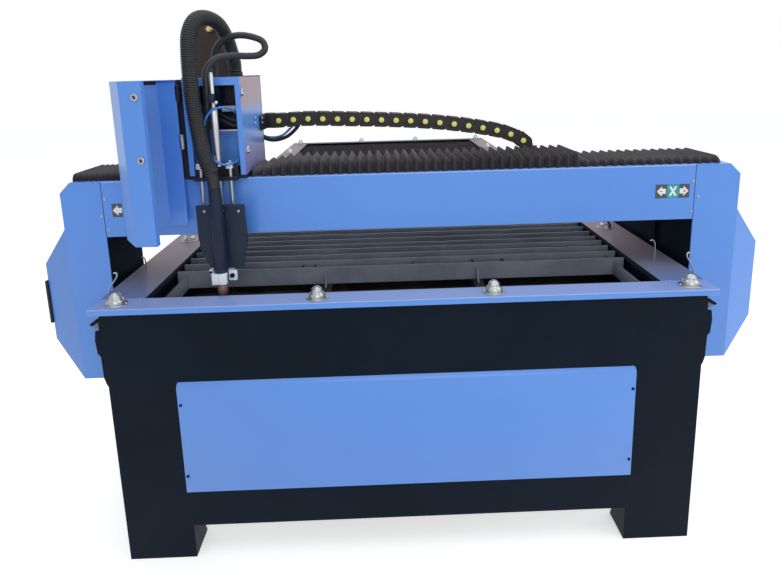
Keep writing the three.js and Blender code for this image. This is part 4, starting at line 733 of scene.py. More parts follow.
def bendAlongFlat(bm, line, lengths, across, side):
    # lays an upright tube on a flat route, moved sideways by a given amount
    for vert in bm.verts:
        height = min(max(vert.co.z, 0), lengths[-1])
        spot = max(k for k, length in enumerate(lengths[:-1]) if length <= height)
        share = (height - lengths[spot]) / (lengths[spot + 1] - lengths[spot])
        ahead = (line[min(spot + 2, len(line) - 1)] - line[max(spot - 1, 0)]).normalized()
        up = ahead.cross(across).normalized()
        centre = line[spot].lerp(line[spot + 1], share)
        vert.co = centre + across * (vert.co.x + side) + up * vert.co.y


# each chain is laid as three pieces, its upper run, its loop and its lower run:
# links counts each part's links, and the last part takes what is left,
# and halfWay is how far off the loop's blend starts and ends
xChain = {"y": 413, "pitch": 46.8, "skip": 21, "links": (17, 5, 99), "halfWay": 20000,
          "route": [(-429.7, 1204), (-380, 1205), (-295, 1208), (-155, 1203), (-14, 1196), (127, 1185),
                    (268, 1165), (365, 1142), (420, 1112), (437, 1078), (424, 1044), (388, 1026), (330, 1021),
                    (200, 1020), (60, 1020)], "loop": (378, 388)}
yChain = {"x": 887, "pitch": 60, "skip": 8, "top": 770, "bend": 165, "back": 1560, "start": 345.3,
          "end": 1500, "straight": (750, 1200), "turns": 8, "links": (20, 9, 99), "halfWay": 20000}


def makeXChain():
    y, far = xChain["y"], xChain["halfWay"]
    route = [(x, y, z) for x, z in xChain["route"]]
    start, end = route[0][0], route[-1][0]
    upper, lower = xChain["loop"]
    blends = [("carriage", (2 * upper - start, y, 1100), (start, y, 1100)),
              ("carriage", (upper + far, y, 1100), (upper - far, y, 1100)),
              ("carriage", (end, y, 1100), (2 * lower - end, y, 1100))]
    parts = zip(xChain["links"], blends, (True, True, True))
    layChain("xChain", route, (0, 1, 0), xChain["pitch"], "gantry", ["x_drag_chain"], parts, xChain["skip"])


def makeYChain():
    x, top, radius, back = yChain["x"], yChain["top"], yChain["bend"], yChain["back"]
    start, end, far = yChain["start"], yChain["end"], yChain["halfWay"]
    route = [(x, y, top) for y in (start, *yChain["straight"])]
    for k in range(yChain["turns"] + 1):
        angle = math.radians(180 * k / yChain["turns"])
        route.append((x, back + radius * math.sin(angle), top - radius + radius * math.cos(angle)))
    route.append((x, end, top - 2 * radius))
    blends = [("gantry", (x, 2 * back - start, top), (x, start, top)),
              ("gantry", (x, back + far, top), (x, back - far, top)),
              ("gantry", (x, end, top), (x, 2 * back - end, top))]
    parts = zip(yChain["links"], blends, (True, True, False))
    layChain("yChain", route, (-1, 0, 0), yChain["pitch"], "bed", ["y_drag_chain"], parts, yChain["skip"])


makeXChain()
makeYChain()
print("cable chains made")


# ball units stand on the rails, each a zinc cup with a flange, two screws and its ball
balls = {"top": 765, "tableLength": 3000, "radius": 14, "rise": 20, "inset": 30, "cornerX": 763,
         "middleX": 235, "sideCount": 5, "flangeShape": 0.76,
         "flange": [(0, 0.2), (30, 0.2), (30, 1.8), (29.2, 2.6), (0, 2.6)],
         "cup": [(21.5, 2.4), (21.4, 7.5), (20.3, 12.5), (17.6, 16.8), (15.4, 18.6), (14.8, 20.6), (14.5, 24),
                 (13.6, 26.2), (12.5, 27.1), (11.4, 27.1)],
         "ear": 26, "screw": [(0, 4.4), (1.1, 4.4), (1.3, 5.3), (2.5, 4.9), (3.1, 3.9), (3.1, 2.5)]}


def ballSpots():
    xs = (-balls["cornerX"], -balls["middleX"], balls["middleX"], balls["cornerX"])
    front = [(x, balls["inset"]) for x in xs]
    rear = [(x, balls["tableLength"] - balls["inset"]) for x in xs]
    pitch = (balls["tableLength"] - 2 * balls["inset"]) / (balls["sideCount"] + 1)
    side = [(sign * balls["cornerX"], balls["inset"] + pitch * (i + 1))
            for sign in (-1, 1) for i in range(balls["sideCount"])]
    return front, rear + side


def makeBalls():
    front, rest = ballSpots()
    flange = turnedStamp(balls["flange"], 36)
    cup = turnedStamp(balls["cup"], 36)
    screw = turnedStamp(balls["screw"], 14)
    ball = bmesh.new()
    bmesh.ops.create_uvsphere(ball, u_segments=28, v_segments=18, radius=balls["radius"])
    ball = stampOf(ball)
    bm = bmesh.new()
    for x, y in front + rest:
        spot = move(x, y, balls["top"])
        putStamp(bm, flange, spot @ Matrix.Scale(balls["flangeShape"], 4, (0, 1, 0)))
        putStamp(bm, cup, spot)
        for sign in (-1, 1):
            putStamp(bm, screw, spot @ move(sign * balls["ear"], 0, 0))
        if (x, y) in rest:
            putStamp(bm, ball, spot @ move(0, 0, balls["rise"]))
    addPiece("ballUnits", bm, "bed", [zincPlate], smooth=40)
    for i, (x, y) in enumerate(front):
        bm = bmesh.new()
        putStamp(bm, ball, move(x, y, balls["top"] + balls["rise"]))
        addPiece(f"transferBall{i + 1}", bm, f"ball_{i + 1}", [zincPlate], [f"transfer_ball_{i + 1}"])


# the frame's four folded rails
rails = {"half": 825, "inner": 702, "depth": 62, "sheet": 3, "lip": 17, "rounding": 1.3, "gap": 0.3}


def makeRails():
    r = rails
    top, low, half, long = balls["top"], balls["top"] - r["lip"], r["half"], balls["tableLength"]
    ell = [(0, low), (r["sheet"], low), (r["sheet"], top - r["sheet"]), (r["depth"], top - r["sheet"]),
           (r["depth"], top), (0, top)]
    for name, replaced, material, line in (
            ("frontRail", "front_rail", frontRailPaint, ell),
            ("rearRail", "rear_rail", rearRailPaint, [(long - y, z) for y, z in reversed(ell)])):
        bm = bmesh.new()
        putStamp(bm, plateForm(line, 2 * half, r["rounding"]), move(half, 0, 0) @ turn(90, "Z"))
        bmesh.ops.recalc_face_normals(bm, faces=bm.faces)
        addPiece(name, bm, "bed", [material], [replaced])
    inner, sheet = r["inner"], r["sheet"]
    channel = [(inner, low), (inner + sheet, low), (inner + sheet, top - sheet), (half - sheet, top - sheet),
               (half - sheet, low), (half, low), (half, top), (inner, top)]
    start = r["depth"] + r["gap"]
    for name, replaced, line in (("rightRail", "right_rail", channel),
                                 ("leftRail", "left_rail", [(-x, z) for x, z in reversed(channel)])):
        bm = bmesh.new()
        putStamp(bm, plateForm(line, long - 2 * start, r["rounding"]), move(0, start, 0))
        bmesh.ops.recalc_face_normals(bm, faces=bm.faces)
        for face in bm.faces:
            if abs(face.normal.x) > 0.7 and abs(face.calc_center_median().x) < inner + 2 * sheet:
                face.material_index = 1
        addPiece(name, bm, "bed", [sideRailPaint, mattBlack], [replaced])


# thin bent rods that stand beside the ball units
rods = {"radius": 2.2, "routes": [
    [(-816, 90, 764), (-811, 90, 785), (-802, 90, 797), (-794.5, 90, 807), (-788, 90, 817), (-787, 90, 825),
     (-790, 90, 828), (-796.5, 90, 827)],
    [(813, 90, 764), (811.5, 90, 778), (805, 90, 792), (799, 90, 805), (791, 90, 819), (789, 90, 828),
     (791, 90, 832), (796, 90, 833)],
    [(-797, 262, 764), (-796, 262, 786), (-797, 262, 799), (-802, 262, 806), (-809, 262, 804)],
    [(766, 205, 764), (766, 205, 806), (764, 205, 822), (757, 205, 830), (750, 205, 827)],
    [(-790, 1010, 764), (-790, 1010, 806), (-792, 1010, 822), (-800, 1010, 829), (-808, 1010, 824)],
    [(772, 1010, 764), (772, 1010, 806), (774, 1010, 822), (782, 1010, 829), (790, 1010, 827)]]}


def rodStamp(route, radius, sides=10, every=5):
    line = smoothRoute(route)
    frames = routeFrames(line)
    length = frames[-1][0]
    count = max(4, round(length / every))
    rings = [(0, radius * 0.4), (0.3, radius)] + [(length * k / count, radius) for k in range(1, count)]
    rings += [(length - 0.3, radius), (length, radius * 0.4)]
    bm = ringTube(rings, sides)
    bmesh.ops.contextual_create(bm, geom=[e for e in bm.edges if e.is_boundary and e.verts[0].co.z < 1])
    bmesh.ops.contextual_create(bm, geom=[e for e in bm.edges if e.is_boundary])
    bendAlong(bm, frames)
    bmesh.ops.recalc_face_normals(bm, faces=bm.faces)
    return stampOf(bm)


def makeRods():
    bm = bmesh.new()
    for route in rods["routes"]:
        putStamp(bm, rodStamp(route, rods["radius"]), Matrix.Identity(4))
    addPiece("hookRods", bm, "bed", [zincPlate])


makeRails()
makeBalls()
makeRods()
print("ball units made")


# cutting slats: worn strips that stand in two combs, over spacers and small brackets
slats = {"count": 53, "first": 256, "pitch": 50, "top": 757, "height": 54.5, "thick": 5, "half": 696.5,
         "wear": 0.5, "notch": 2.4, "notchShare": 0.08, "lean": 0.08, "cells": 46, "kinds": 4,
         "combX": 667, "comb": 6, "combTop": 745, "bottom": 702.3, "start": 62.8, "end": 2937.2,
         "wallX": 697, "wall": 1.6, "wallLower": 22,
         "spacer": [(0, 0), (44, 0), (44, 12), (6, 20), (0, 20)], "spacers": [-314, -275, 39, 229, 325],
         "spacerRows": (0, 7, 19, 33), "bracket": [(0, 0), (34, 0), (34, 40), (28, 40)],
         "brackets": [-235, 235], "bracketAhead": 37}


def slatStamp(seed):
    rng = random.Random(seed)
    bm = bmesh.new()
    bmesh.ops.create_grid(bm, x_segments=slats["cells"], y_segments=1, size=0.5)
    bmesh.ops.scale(bm, vec=(2 * slats["half"], slats["height"], 1), verts=bm.verts)
    bmesh.ops.rotate(bm, cent=(0, 0, 0), matrix=Matrix.Rotation(math.radians(90), 3, "X"), verts=bm.verts)
    for vert in bm.verts:
        if vert.co.z > 0 and abs(vert.co.x) < slats["half"] - 1:
            vert.co.z -= rng.uniform(0, slats["wear"])
            vert.co.z -= slats["notch"] if rng.random() < slats["notchShare"] else 0
    bmesh.ops.solidify(bm, geom=bm.faces[:], thickness=slats["thick"])
    bmesh.ops.recalc_face_normals(bm, faces=bm.faces)
    return stampOf(bm)


def makeSlats():
    middle = slats["top"] - slats["height"] / 2
    kinds = [slatStamp(kind) for kind in range(slats["kinds"])]
    rng = random.Random(7)
    bm = bmesh.new()
    for i in range(slats["count"]):
        place = move(0, slats["first"] + slats["pitch"] * i, middle) @ turn(180 * rng.randint(0, 1), "Z")
        kind = kinds[rng.randrange(slats["kinds"])]
        putStamp(bm, kind, place @ turn(rng.uniform(-slats["lean"], slats["lean"]), "Z"))
    long = slats["end"] - slats["start"]
    tall = slats["combTop"] - slats["bottom"]
    comb = blockStamp((slats["comb"], long, tall), 0.8)
    wall = blockStamp((slats["wall"], long, tall - slats["wallLower"]), 0.4)
    y, z = slats["start"] + long / 2, slats["bottom"] + tall / 2
    for sign in (-1, 1):
        putStamp(bm, comb, move(sign * slats["combX"], y, z))
        putStamp(bm, wall, move(sign * slats["wallX"], y, z - slats["wallLower"] / 2), 1)
    spacer = plateForm(slats["spacer"], 3, 0.3)
    for x in slats["spacers"]:
        for row in slats["spacerRows"]:
            y = slats["first"] + 3 + row * slats["pitch"]
            putStamp(bm, spacer, move(x, y, slats["top"] - 22) @ turn(90, "Z"), 1)
    bracket = plateForm(slats["bracket"], 4, 0.3)
    for x in slats["brackets"]:
        y = slats["first"] - slats["bracketAhead"]
        putStamp(bm, bracket, move(x, y, slats["bottom"] + 1) @ turn(90, "Z"))
    addPiece("cuttingSlats", bm, "bed", [slatSteel, pitSteel], ["slat_bed"], smooth=30)


makeSlats()
print("slats made")


def boxAt(bm, low, high, rounding=0.8, material=0):
    size = [b - a for a, b in zip(low, high)]
    centre = [(a + b) / 2 for a, b in zip(low, high)]
    putStamp(bm, blockStamp(size, rounding), move(*centre), material)


# front plate: its upper edge is folded back, so it catches the light
plate = {"half": 620, "low": 216, "high": 547, "front": 3.7, "back": 11.8, "fold": 10, "foldCorner": 3,
         "lip": 1.6, "corner": 5}


def makeNamePlate():
    half, low, high, corner, lip = (plate[key] for key in ("half", "low", "high", "corner", "lip"))
    outer = [(-half, low), (half, low), (half, high - corner), (half - corner, high), (corner - half, high),
             (-half, high - corner)]
    top, cut = high - plate["fold"], plate["foldCorner"]
    inner = [(lip - half, low + lip), (half - lip, low + lip), (half - lip, top - cut), (half - lip - cut, top),
             (lip + cut - half, top), (lip - half, top - cut)]
    bm = bmesh.new()
    back = [bm.verts.new((x, plate["back"], z)) for x, z in outer]
    front = [bm.verts.new((x, plate["front"], z)) for x, z in inner]
    bm.faces.new(front)
    bm.faces.new(back)
    for i in range(6):
        j = (i + 1) % 6
        bm.faces.new((front[i], front[j], back[j], back[i]))
    bmesh.ops.recalc_face_normals(bm, faces=bm.faces)
    roundEdges(bm, 0.5)
    addPiece("namePlate", bm, "bed", [bluePaint], ["name_panel"], smooth=30)


makeNamePlate()


# louvre in the left end cover
vent = {"low": (-1058.2, 188, 636), "high": (-1050.4, 305, 768), "frame": 8, "backAt": 5.5, "blades": 7,
        "bladeAt": 3.4, "blade": (6, 1.6), "tilt": 35}


def makeVent():
    bm = bmesh.new()
    (x0, y0, z0), (x1, y1, z1) = vent["low"], vent["high"]
    edge = vent["frame"]
    boxAt(bm, (x0 + vent["backAt"], y0, z0), (x1, y1, z1), 0.6)
    for low, high in (((x0, y0, z0), (x1, y1, z0 + edge)), ((x0, y0, z1 - edge), (x1, y1, z1)),
                      ((x0, y0, z0 + edge), (x1, y0 + edge, z1 - edge)),
                      ((x0, y1 - edge, z0 + edge), (x1, y1, z1 - edge))):
        boxAt(bm, low, high, 0.8)
    pitch = (z1 - z0 - 2 * edge) / vent["blades"]
    deep, thick = vent["blade"]
    blade = blockStamp((deep, y1 - y0 - 2 * edge, thick), 0.4)
    for i in range(vent["blades"]):
        place = move(x0 + vent["bladeAt"], (y0 + y1) / 2, z0 + edge + pitch * (i + 0.5))
        putStamp(bm, blade, place @ turn(vent["tilt"], "Y"))
    addPiece("sideLouvre", bm, "gantry", [chainPlastic], ["side_vent"], smooth=30)


makeVent()
print("front plate and louvre made")


# small screws and bolts, each group on its own body, and the faces that they stand on
screws = {"pan": [(0, 1.0), (1.6, 1.0), (1.9, 2.4), (3.4, 2.0), (4.2, 0.9), (4.2, -0.3)],
          "hex": [(0, 2.4), (3.1, 2.4), (3.1, 6.2), (5.6, 6.2), (6.3, 5.5), (6.3, -0.5)],
          "coverFace": 160, "coverBack": 345, "tableBack": 2988, "slideFace": 95.3,
          "coverFront": [(-836.5, 1018), (-849.7, 969), (-834, 928), (839, 1019.6), (856.5, 973.4),
                         (839, 929)],
          "panel": [(-611, 268), (-611, 484), (611, 268), (611, 484)],
          "railTop": [(-710, 49), (710, 49), (-710, 2950), (710, 2950)],
          "plate": [(-487.7, 992.3), (-536.9, 991.9), (-445, 990)],
          "coverRear": [(868, 1040), (868, 760), (868, 500), (985, 1040), (985, 500)],
          "rearPanel": [(x, z) for x in range(-570, 571, 190) for z in (128, 716)],
          "rearLeg": [(655, 640), (757, 640), (655, 540), (757, 540)]}


def makeScrews():
    pan = turnedStamp(screws["pan"], 14)
    hexHead = turnedStamp(screws["hex"], 6)
    forward, backward = turn(90, "X"), turn(-90, "X")
    bm = bmesh.new()
    for x, z in screws["coverFront"]:
        putStamp(bm, pan, move(x, screws["coverFace"], z) @ forward)
    for x, z in screws["coverRear"]:
        for sign in (-1, 1):
            putStamp(bm, pan, move(sign * x, screws["coverBack"], z) @ backward)
    addPiece("coverScrews", bm, "gantry", [zincPlate], smooth=30)
    bm = bmesh.new()
    for x, z in screws["panel"]:
        putStamp(bm, pan, move(x, plate["front"], z) @ forward)
    for x, y in screws["railTop"]:
        putStamp(bm, pan, move(x, y, balls["top"]), 1)
    for x, z in screws["rearPanel"]:
        putStamp(bm, pan, move(x, screws["tableBack"], z) @ backward)
    for x, z in screws["rearLeg"]:
        for sign in (-1, 1):
            putStamp(bm, hexHead, move(sign * x, screws["tableBack"], z) @ backward)
    addPiece("frameScrews", bm, "bed", [blackPaint, zincPlate], smooth=30)
    bm = bmesh.new()
    for x, z in screws["plate"]:
        putStamp(bm, pan, move(x, screws["slideFace"], z) @ forward)
    addPiece("plateScrews", bm, "z_slide", [zincPlate], smooth=30)


makeScrews()


# folded edges painted a lighter blue as painted highlight, the seams beside the covers and the guides' end
# plates
edges = {"cover": ((-843, 159.7, 1064.6), (843, 164, 1068.3)), "rail": ((-823, -1, 763.2), (823, 1.6, 765.6)),
         "seam": ((843.6, 159.6, 908), (845.2, 161, 1067)),
         "guideEnd": ((812.6, 28.2, 700.2), (829.6, 29.9, 719.8))}


def makeEdges():
    for name, body, strip, rounding, pair, pairRounding, pairMaterial in (
            ("coverEdges", "gantry", "cover", 1.2, "seam", 0.3, mattBlack),
            ("railEdges", "bed", "rail", 0.8, "guideEnd", 0.4, guideEndPaint)):
        bm = bmesh.new()
        # lighter blue strip along the folded edge: painted highlight
        boxAt(bm, *edges[strip], rounding)
        (x0, y0, z0), (x1, y1, z1) = edges[pair]
        boxAt(bm, (x0, y0, z0), (x1, y1, z1), pairRounding, 1)
        boxAt(bm, (-x1, y0, z0), (-x0, y1, z1), pairRounding, 1)
        addPiece(name, bm, body, [edgeHighlightPaint, pairMaterial])


makeEdges()


# direction signs on the gantry's front: arrows and the axis letter
signs = {"face": 160.05, "right": (730, 971, 829, 1012), "left": (-820, 965, -791, 1004),
         "middle": (763, 798), "margin": 0.4, "thick": 0.5, "middleThick": 0.7, "arrowThick": 0.9,
         "arrow": [(0, 0), (15, 15), (15, 7.5), (26, 7.5), (26, -7.5), (15, -7.5), (15, -15)],
         "leftwards": 734, "rightwards": 826, "leftSign": -818,
         "bar": (6, 0.8, 33), "barAngle": 33,
         "stroke": (9, 0.3, 2), "strokes": [(746, 0), (814, 0), (814, 90)]}


def makeSigns():
    face = signs["face"]
    bm = bmesh.new()
    for low, bottom, high, top in (signs["right"], signs["left"]):
        ground = plateForm([(low, bottom), (high, bottom), (high, top), (low, top)], signs["thick"], 0.15)
        putStamp(bm, ground, move(0, face - signs["thick"], 0))
    bottom, top = signs["right"][1], signs["right"][3]
    height = (bottom + top) / 2
    low, high = signs["middle"]
    z0, z1 = bottom + signs["margin"], top - signs["margin"]
    middle = plateForm([(low, z0), (high, z0), (high, z1), (low, z1)], signs["middleThick"], 0.15)
    putStamp(bm, middle, move(0, face - signs["middleThick"], 0), 1)
    arrow = plateForm(signs["arrow"], signs["arrowThick"], 0.1)
    arrowFace = face - signs["arrowThick"]
    putStamp(bm, arrow, move(signs["leftwards"], arrowFace, height), 2)
    putStamp(bm, arrow, move(signs["rightwards"], face, height) @ turn(180, "Z"), 2)
    putStamp(bm, arrow, move(signs["leftSign"], arrowFace, (signs["left"][1] + signs["left"][3]) / 2), 2)
    # the axis letter is two crossed bars, one a hair in front of the other
    bar = blockStamp(signs["bar"], 0.15)
    for sign in (-1, 1):
        place = move((low + high) / 2, face - 0.6 - sign * 0.06, height)
        putStamp(bm, bar, place @ turn(sign * signs["barAngle"], "Y"), 2)
    stroke = blockStamp(signs["stroke"], 0.05)
    for x, angle in signs["strokes"]:
        putStamp(bm, stroke, move(x, face - 0.96 - angle / 2000, height) @ turn(angle, "Y"), 3)
    addPiece("directionSigns", bm, "gantry", [signGrey, signTeal, signWhite, signRed],
             smooth=0)


makeSigns()
print("screws and signs made")


# inside of the torch head and the small parts round it
head = {"liner": [((-484, 176, 1262), (-433, 180, 1342)), ((-560, 196, 1205), (-433, 200, 1263))],
        "bar": ((-486, 150, 1256), (-433, 166, 1271)), "nibs": 6,
        "edge": ((-540, 140.5, 1203), (-433, 146, 1207)), "seal": ((-611, 143, 1075), (-585.5, 147, 1344)),
        "gland": [(0, 1344), (21.5, 1344), (21.5, 1361), (20.5, 1363.2), (0, 1363.2)], "glandAt": (-484, 292),
        "chainEnd": [((-427.3, 318, 1182), (-423.5, 437.4, 1229)), ((-424, 389, 1182), (-407, 437.4, 1229))],
        "panel": [(-630, 1338), (-501.5, 1338), (-501.5, 1421), (-547.5, 1513.5), (-611.5, 1513.5),
                  (-630, 1494.5)], "panelAt": 359.5,
        "cables": [([(-500, 165, 1252), (-480, 158, 1240), (-458, 154, 1232), (-436, 156, 1231)], 5),
                   ([(-508, 168, 1238), (-484, 156, 1228), (-460, 152, 1218), (-436, 156, 1214)], 4.5),
                   ([(-500, 172, 1226), (-478, 162, 1218), (-455, 160, 1246), (-436, 164, 1250)], 3.5)],
        "tubes": [([(-520, 105, 1222), (-517, 102, 1234), (-510, 99, 1247), (-498, 97, 1261),
                    (-482, 96.5, 1269), (-468, 98, 1271), (-458, 115, 1267), (-453, 140, 1258),
                    (-441, 160, 1246)], 2.9),
                  ([(-502, 102, 1140), (-499, 99, 1130.5), (-493, 98.2, 1125), (-485, 97, 1121),
                    (-471, 100, 1117.5), (-460, 113, 1117), (-453, 138, 1120), (-446, 152, 1129),
                    (-442, 160, 1138)], 2.9)],
        "loop": [([(-455, 400, 1182), (-447, 400, 1160), (-431, 400, 1146), (-404, 400, 1141),
                   (-380, 400, 1145), (-357, 400, 1155), (-332, 401, 1177), (-322, 402, 1190)], 6),
                 ([(-452, 392, 1186), (-446, 391, 1168), (-430, 390, 1156), (-407, 390, 1152),
                   (-388, 391, 1154), (-371, 393, 1161), (-350, 395, 1180)], 2.8),
                 ([(-452, 410, 1180), (-440, 410, 1154), (-420, 410, 1145), (-396, 410, 1148),
                   (-374, 411, 1157), (-346, 412, 1182)], 2.8)],
        "barrel": [(0, 1112.4), (8.9, 1112.4), (9.4, 1113.4), (9.4, 1266), (8.6, 1268), (5.6, 1268.4),
                   (5.6, 1354), (4.6, 1356), (4.6, 1361.6), (0, 1361.6)], "barrelAt": (-493, 108),
        "valve": ((-502, 93.5, 1283), (-486, 110, 1307)),
        "fitting": [(0, 0), (4.8, 0), (4.8, 6), (3.4, 6.4), (3.4, 11), (5, 11.4), (5, 15), (0, 15)],
        "fittings": [((-484, 104, 1281), 70, 20, 0.75), ((-497, 103.5, 1139), 90, 0, 0.5)],
        "hoseFitting": ((-566, 355, 1494), 1.7),
        "hinge": [(6.3, 0), (6.3, 12.6), (5.6, 13), (6.3, 13.4), (6.3, 26), (5.6, 26.4), (6.3, 26.8),
                  (6.3, 39.2)],
        "hingeAt": (-594, 133), "hingeLow": (1158.4, 1290.4),
        "catch": [(2.6, 0), (2.6, 1.4), (4.2, 1.4), (5.4, 3.2), (7.4, 3.2), (8.6, 0)], "catchSize": 1.25,
        "catches": [(-427.4, 150, 1307.6), (-427.4, 167, 1146.9)], "chainScrewSize": 0.8,
        "chainScrews": [(-427.4, 268, 1227), (-427.4, 264, 1212), (-423.4, 332, 1221), (-423.4, 330, 1207)]}


def makeHeadInside():
    bm = bmesh.new()
    for low, high in head["liner"]:
        boxAt(bm, low, high, 1.2)
    boxAt(bm, *head["seal"], 1.0)
    putStamp(bm, turnedStamp(head["gland"], 32), move(*head["glandAt"], 0))
    for low, high in head["chainEnd"]:
        boxAt(bm, low, high, 1.0)
    for route, radius in head["cables"]:
        putStamp(bm, rodStamp(route, radius, 12), Matrix.Identity(4))
    addPiece("headLiner", bm, "carriage", [mattBlack])
    bm = bmesh.new()
    putStamp(bm, plateForm(head["panel"], 0.8, 0.2), move(0, head["panelAt"], 0))
    addPiece("bracketPanel", bm, "carriage", [brownSteel], smooth=0)
    bm = bmesh.new()
    low, high = head["bar"]
    boxAt(bm, low, high, 1.0)
    pitch = (high[0] - low[0]) / head["nibs"]
    for i in range(head["nibs"]):
        x = low[0] + pitch * i
        boxAt(bm, (x + 1, low[1] - 3, low[2] + 3), (low[0] + pitch * (i + 1) - 1, low[1] + 1, high[2] - 3), 0.8)
    boxAt(bm, *head["edge"], 0.8)
    addPiece("terminalBar", bm, "carriage", [greyPart])
    bm = bmesh.new()
    x, y = head["barrelAt"]
    putStamp(bm, turnedStamp(head["barrel"], 28), move(x, y, 0))
    addPiece("liftBarrel", bm, "carriage", [cylinderSteel], ["lift_cylinder"], smooth=40)
    bm = bmesh.new()
    boxAt(bm, *head["valve"], 3.5)
    fitting = turnedStamp(head["fitting"], 8)
    for place, lean, roll, size in head["fittings"]:
        putStamp(bm, fitting, move(*place) @ turn(lean, "X") @ turn(roll, "Y") @ Matrix.Scale(size, 4), 1)
    addPiece("airValve", bm, "carriage", [torchPlastic, zincPlate], smooth=30)
    bm = bmesh.new()
    for route, radius in head["tubes"]:
        putStamp(bm, rodStamp(route, radius, 12), Matrix.Identity(4))
    addPiece("airTubes", bm, "carriage", [airTube])
    bm = bmesh.new()
    for i, (route, radius) in enumerate(head["loop"]):
        putStamp(bm, rodStamp(route, radius, 10), Matrix.Identity(4), i)
    addPiece("cableLoop", bm, "carriage", [hoseRubber, airTube, greyPart])
    bm = bmesh.new()
    x, y = head["hingeAt"]
    for low, material in zip(head["hingeLow"], (0, 2)):
        putStamp(bm, turnedStamp(head["hinge"], 20), move(x, y, low), material)
    pan = turnedStamp(screws["pan"], 14)
    for spot in head["chainScrews"]:
        putStamp(bm, pan, move(*spot) @ turn(90, "Y") @ Matrix.Scale(head["chainScrewSize"], 4), 1)
    ring = turnedStamp(head["catch"], 6)
    for spot in head["catches"]:
        putStamp(bm, ring, move(*spot) @ turn(90, "Y") @ Matrix.Scale(head["catchSize"], 4))
    addPiece("headFittings", bm, "carriage", [zincPlate, whiteBlock, mattBlack], smooth=30)
    bm = bmesh.new()
    spot, size = head["hoseFitting"]
    putStamp(bm, turnedStamp(head["fitting"], 6), move(*spot) @ turn(90, "X") @ Matrix.Scale(size, 4))
    addPiece("hoseFitting", bm, "carriage", [brassFitting], smooth=30)


makeHeadInside()
print("head parts made")


# door: turn latches with their keys, and a black strip under its cap as painted shadow
door = {"hinge": (-594, 133, 0), "open": 94, "latchX": 168, "latchY": -19, "latchZ": (1157, 1307),
        "disc": [(0, 2.2), (2.2, 2.2), (2.4, 1.2), (4.2, 1.2), (4.4, 3.4), (7.8, 3.4), (9, 2.4), (9, 0)],
        "discOut": 0.3, "shaft": [(3.5, -12), (3.5, 0.4)], "key": (3.2, 3.2, 9), "keyOut": 2.4, "keyTurn": 20,
        "slot": [(52, 110, 0, (0, -108.2)), (-36, 36, -45, (26.6, -81.8))], "slotZ": (1333, 1342)}


def makeDoorParts():
    place = move(*door["hinge"]) @ turn(-door["open"], "Z")
    disc = turnedStamp(door["disc"], 24)
    key = blockStamp(door["key"], 0.6)
    shaft = turnedStamp(door["shaft"], 12)
    x, y = door["latchX"], door["latchY"]
    for name, body, replaced, z in (("latchLower", "latch_lower", "door_latch_lower", door["latchZ"][0]),
                                    ("latchUpper", "latch_upper", "door_latch_upper", door["latchZ"][1])):
        bm = bmesh.new()
        face = place @ move(x + door["discOut"], y, z) @ turn(90, "Y")
        putStamp(bm, disc, face)
        putStamp(bm, shaft, face)
        putStamp(bm, key, place @ move(x + door["keyOut"], y, z) @ turn(door["keyTurn"], "X"), 1)
        addPiece(name, bm, body, [zincPlate, blackPaint], [replaced], smooth=30)
    # painted shadow: black strips under the door's cap
    bm = bmesh.new()
    low, high = door["slotZ"]
    for start, end, angle, (x, y) in door["slot"]:
        strip = blockStamp((end - start, 1, high - low), 0.3)
        corner = place @ move(x, y, (low + high) / 2) @ turn(angle, "Z")
        putStamp(bm, strip, corner @ move((start + end) / 2, 0, 0))
    addPiece("doorCapShadow", bm, "door", [mattBlack], smooth=0)


makeDoorParts()


# torch: handle, clamp with its bolt, nozzle cup, and the blocks that hold the two rods
torch = {"at": (-497, 76),
         "handle": [(0, 797.3), (17.8, 797.3), (18.2, 798.2), (18.2, 829), (19, 836), (18.4, 837),
                    (18.4, 839), (19, 840), (19, 905), (18.2, 975), (16.6, 1035), (16, 1054),
                    (15.2, 1059.7), (0, 1059.7)],
         "nozzle": [(4.5, 773), (4.5, 764.4), (11.6, 764.4), (12.3, 765.2), (13.9, 772), (13.9, 788),
                    (13.1, 789), (13.1, 796.4), (0, 796.4)],
         "block": ((-519, 57.2, 797.2), (-480, 94.6, 828)), "ear": ((-485, 77, 801), (-457.2, 85, 828.6)),
         "neck": ((-485, 84, 803), (-470, 108.6, 826)), "horn": ((-529.8, 75, 820), (-520, 94.6, 833.8)),
         "split": ((-500.4, 57.02, 797.6), (-499.6, 58.0, 828.1)), "boltAt": (-468.5, 77.2, 816),
         "hornBolt": (-525.4, 75.2, 827), "hornBoltSize": 0.55,
         "rodX": (-547, -467), "rodBlock": (17, 18, 15), "rodBlockAt": (121, 1111.4), "sideScrew": (5, 1, 0.5),
         "crossBar": ((-541, 121, 1104.5), (-473, 129, 1111.5)), "lug": ((-459, 120, 1108), (-446, 128, 1118)),
         "lugRing": [(2.4, 0), (2.4, 4), (4.6, 4.6), (6, 4), (6, 0)], "lugRingAt": (-451, 122, 1112)}


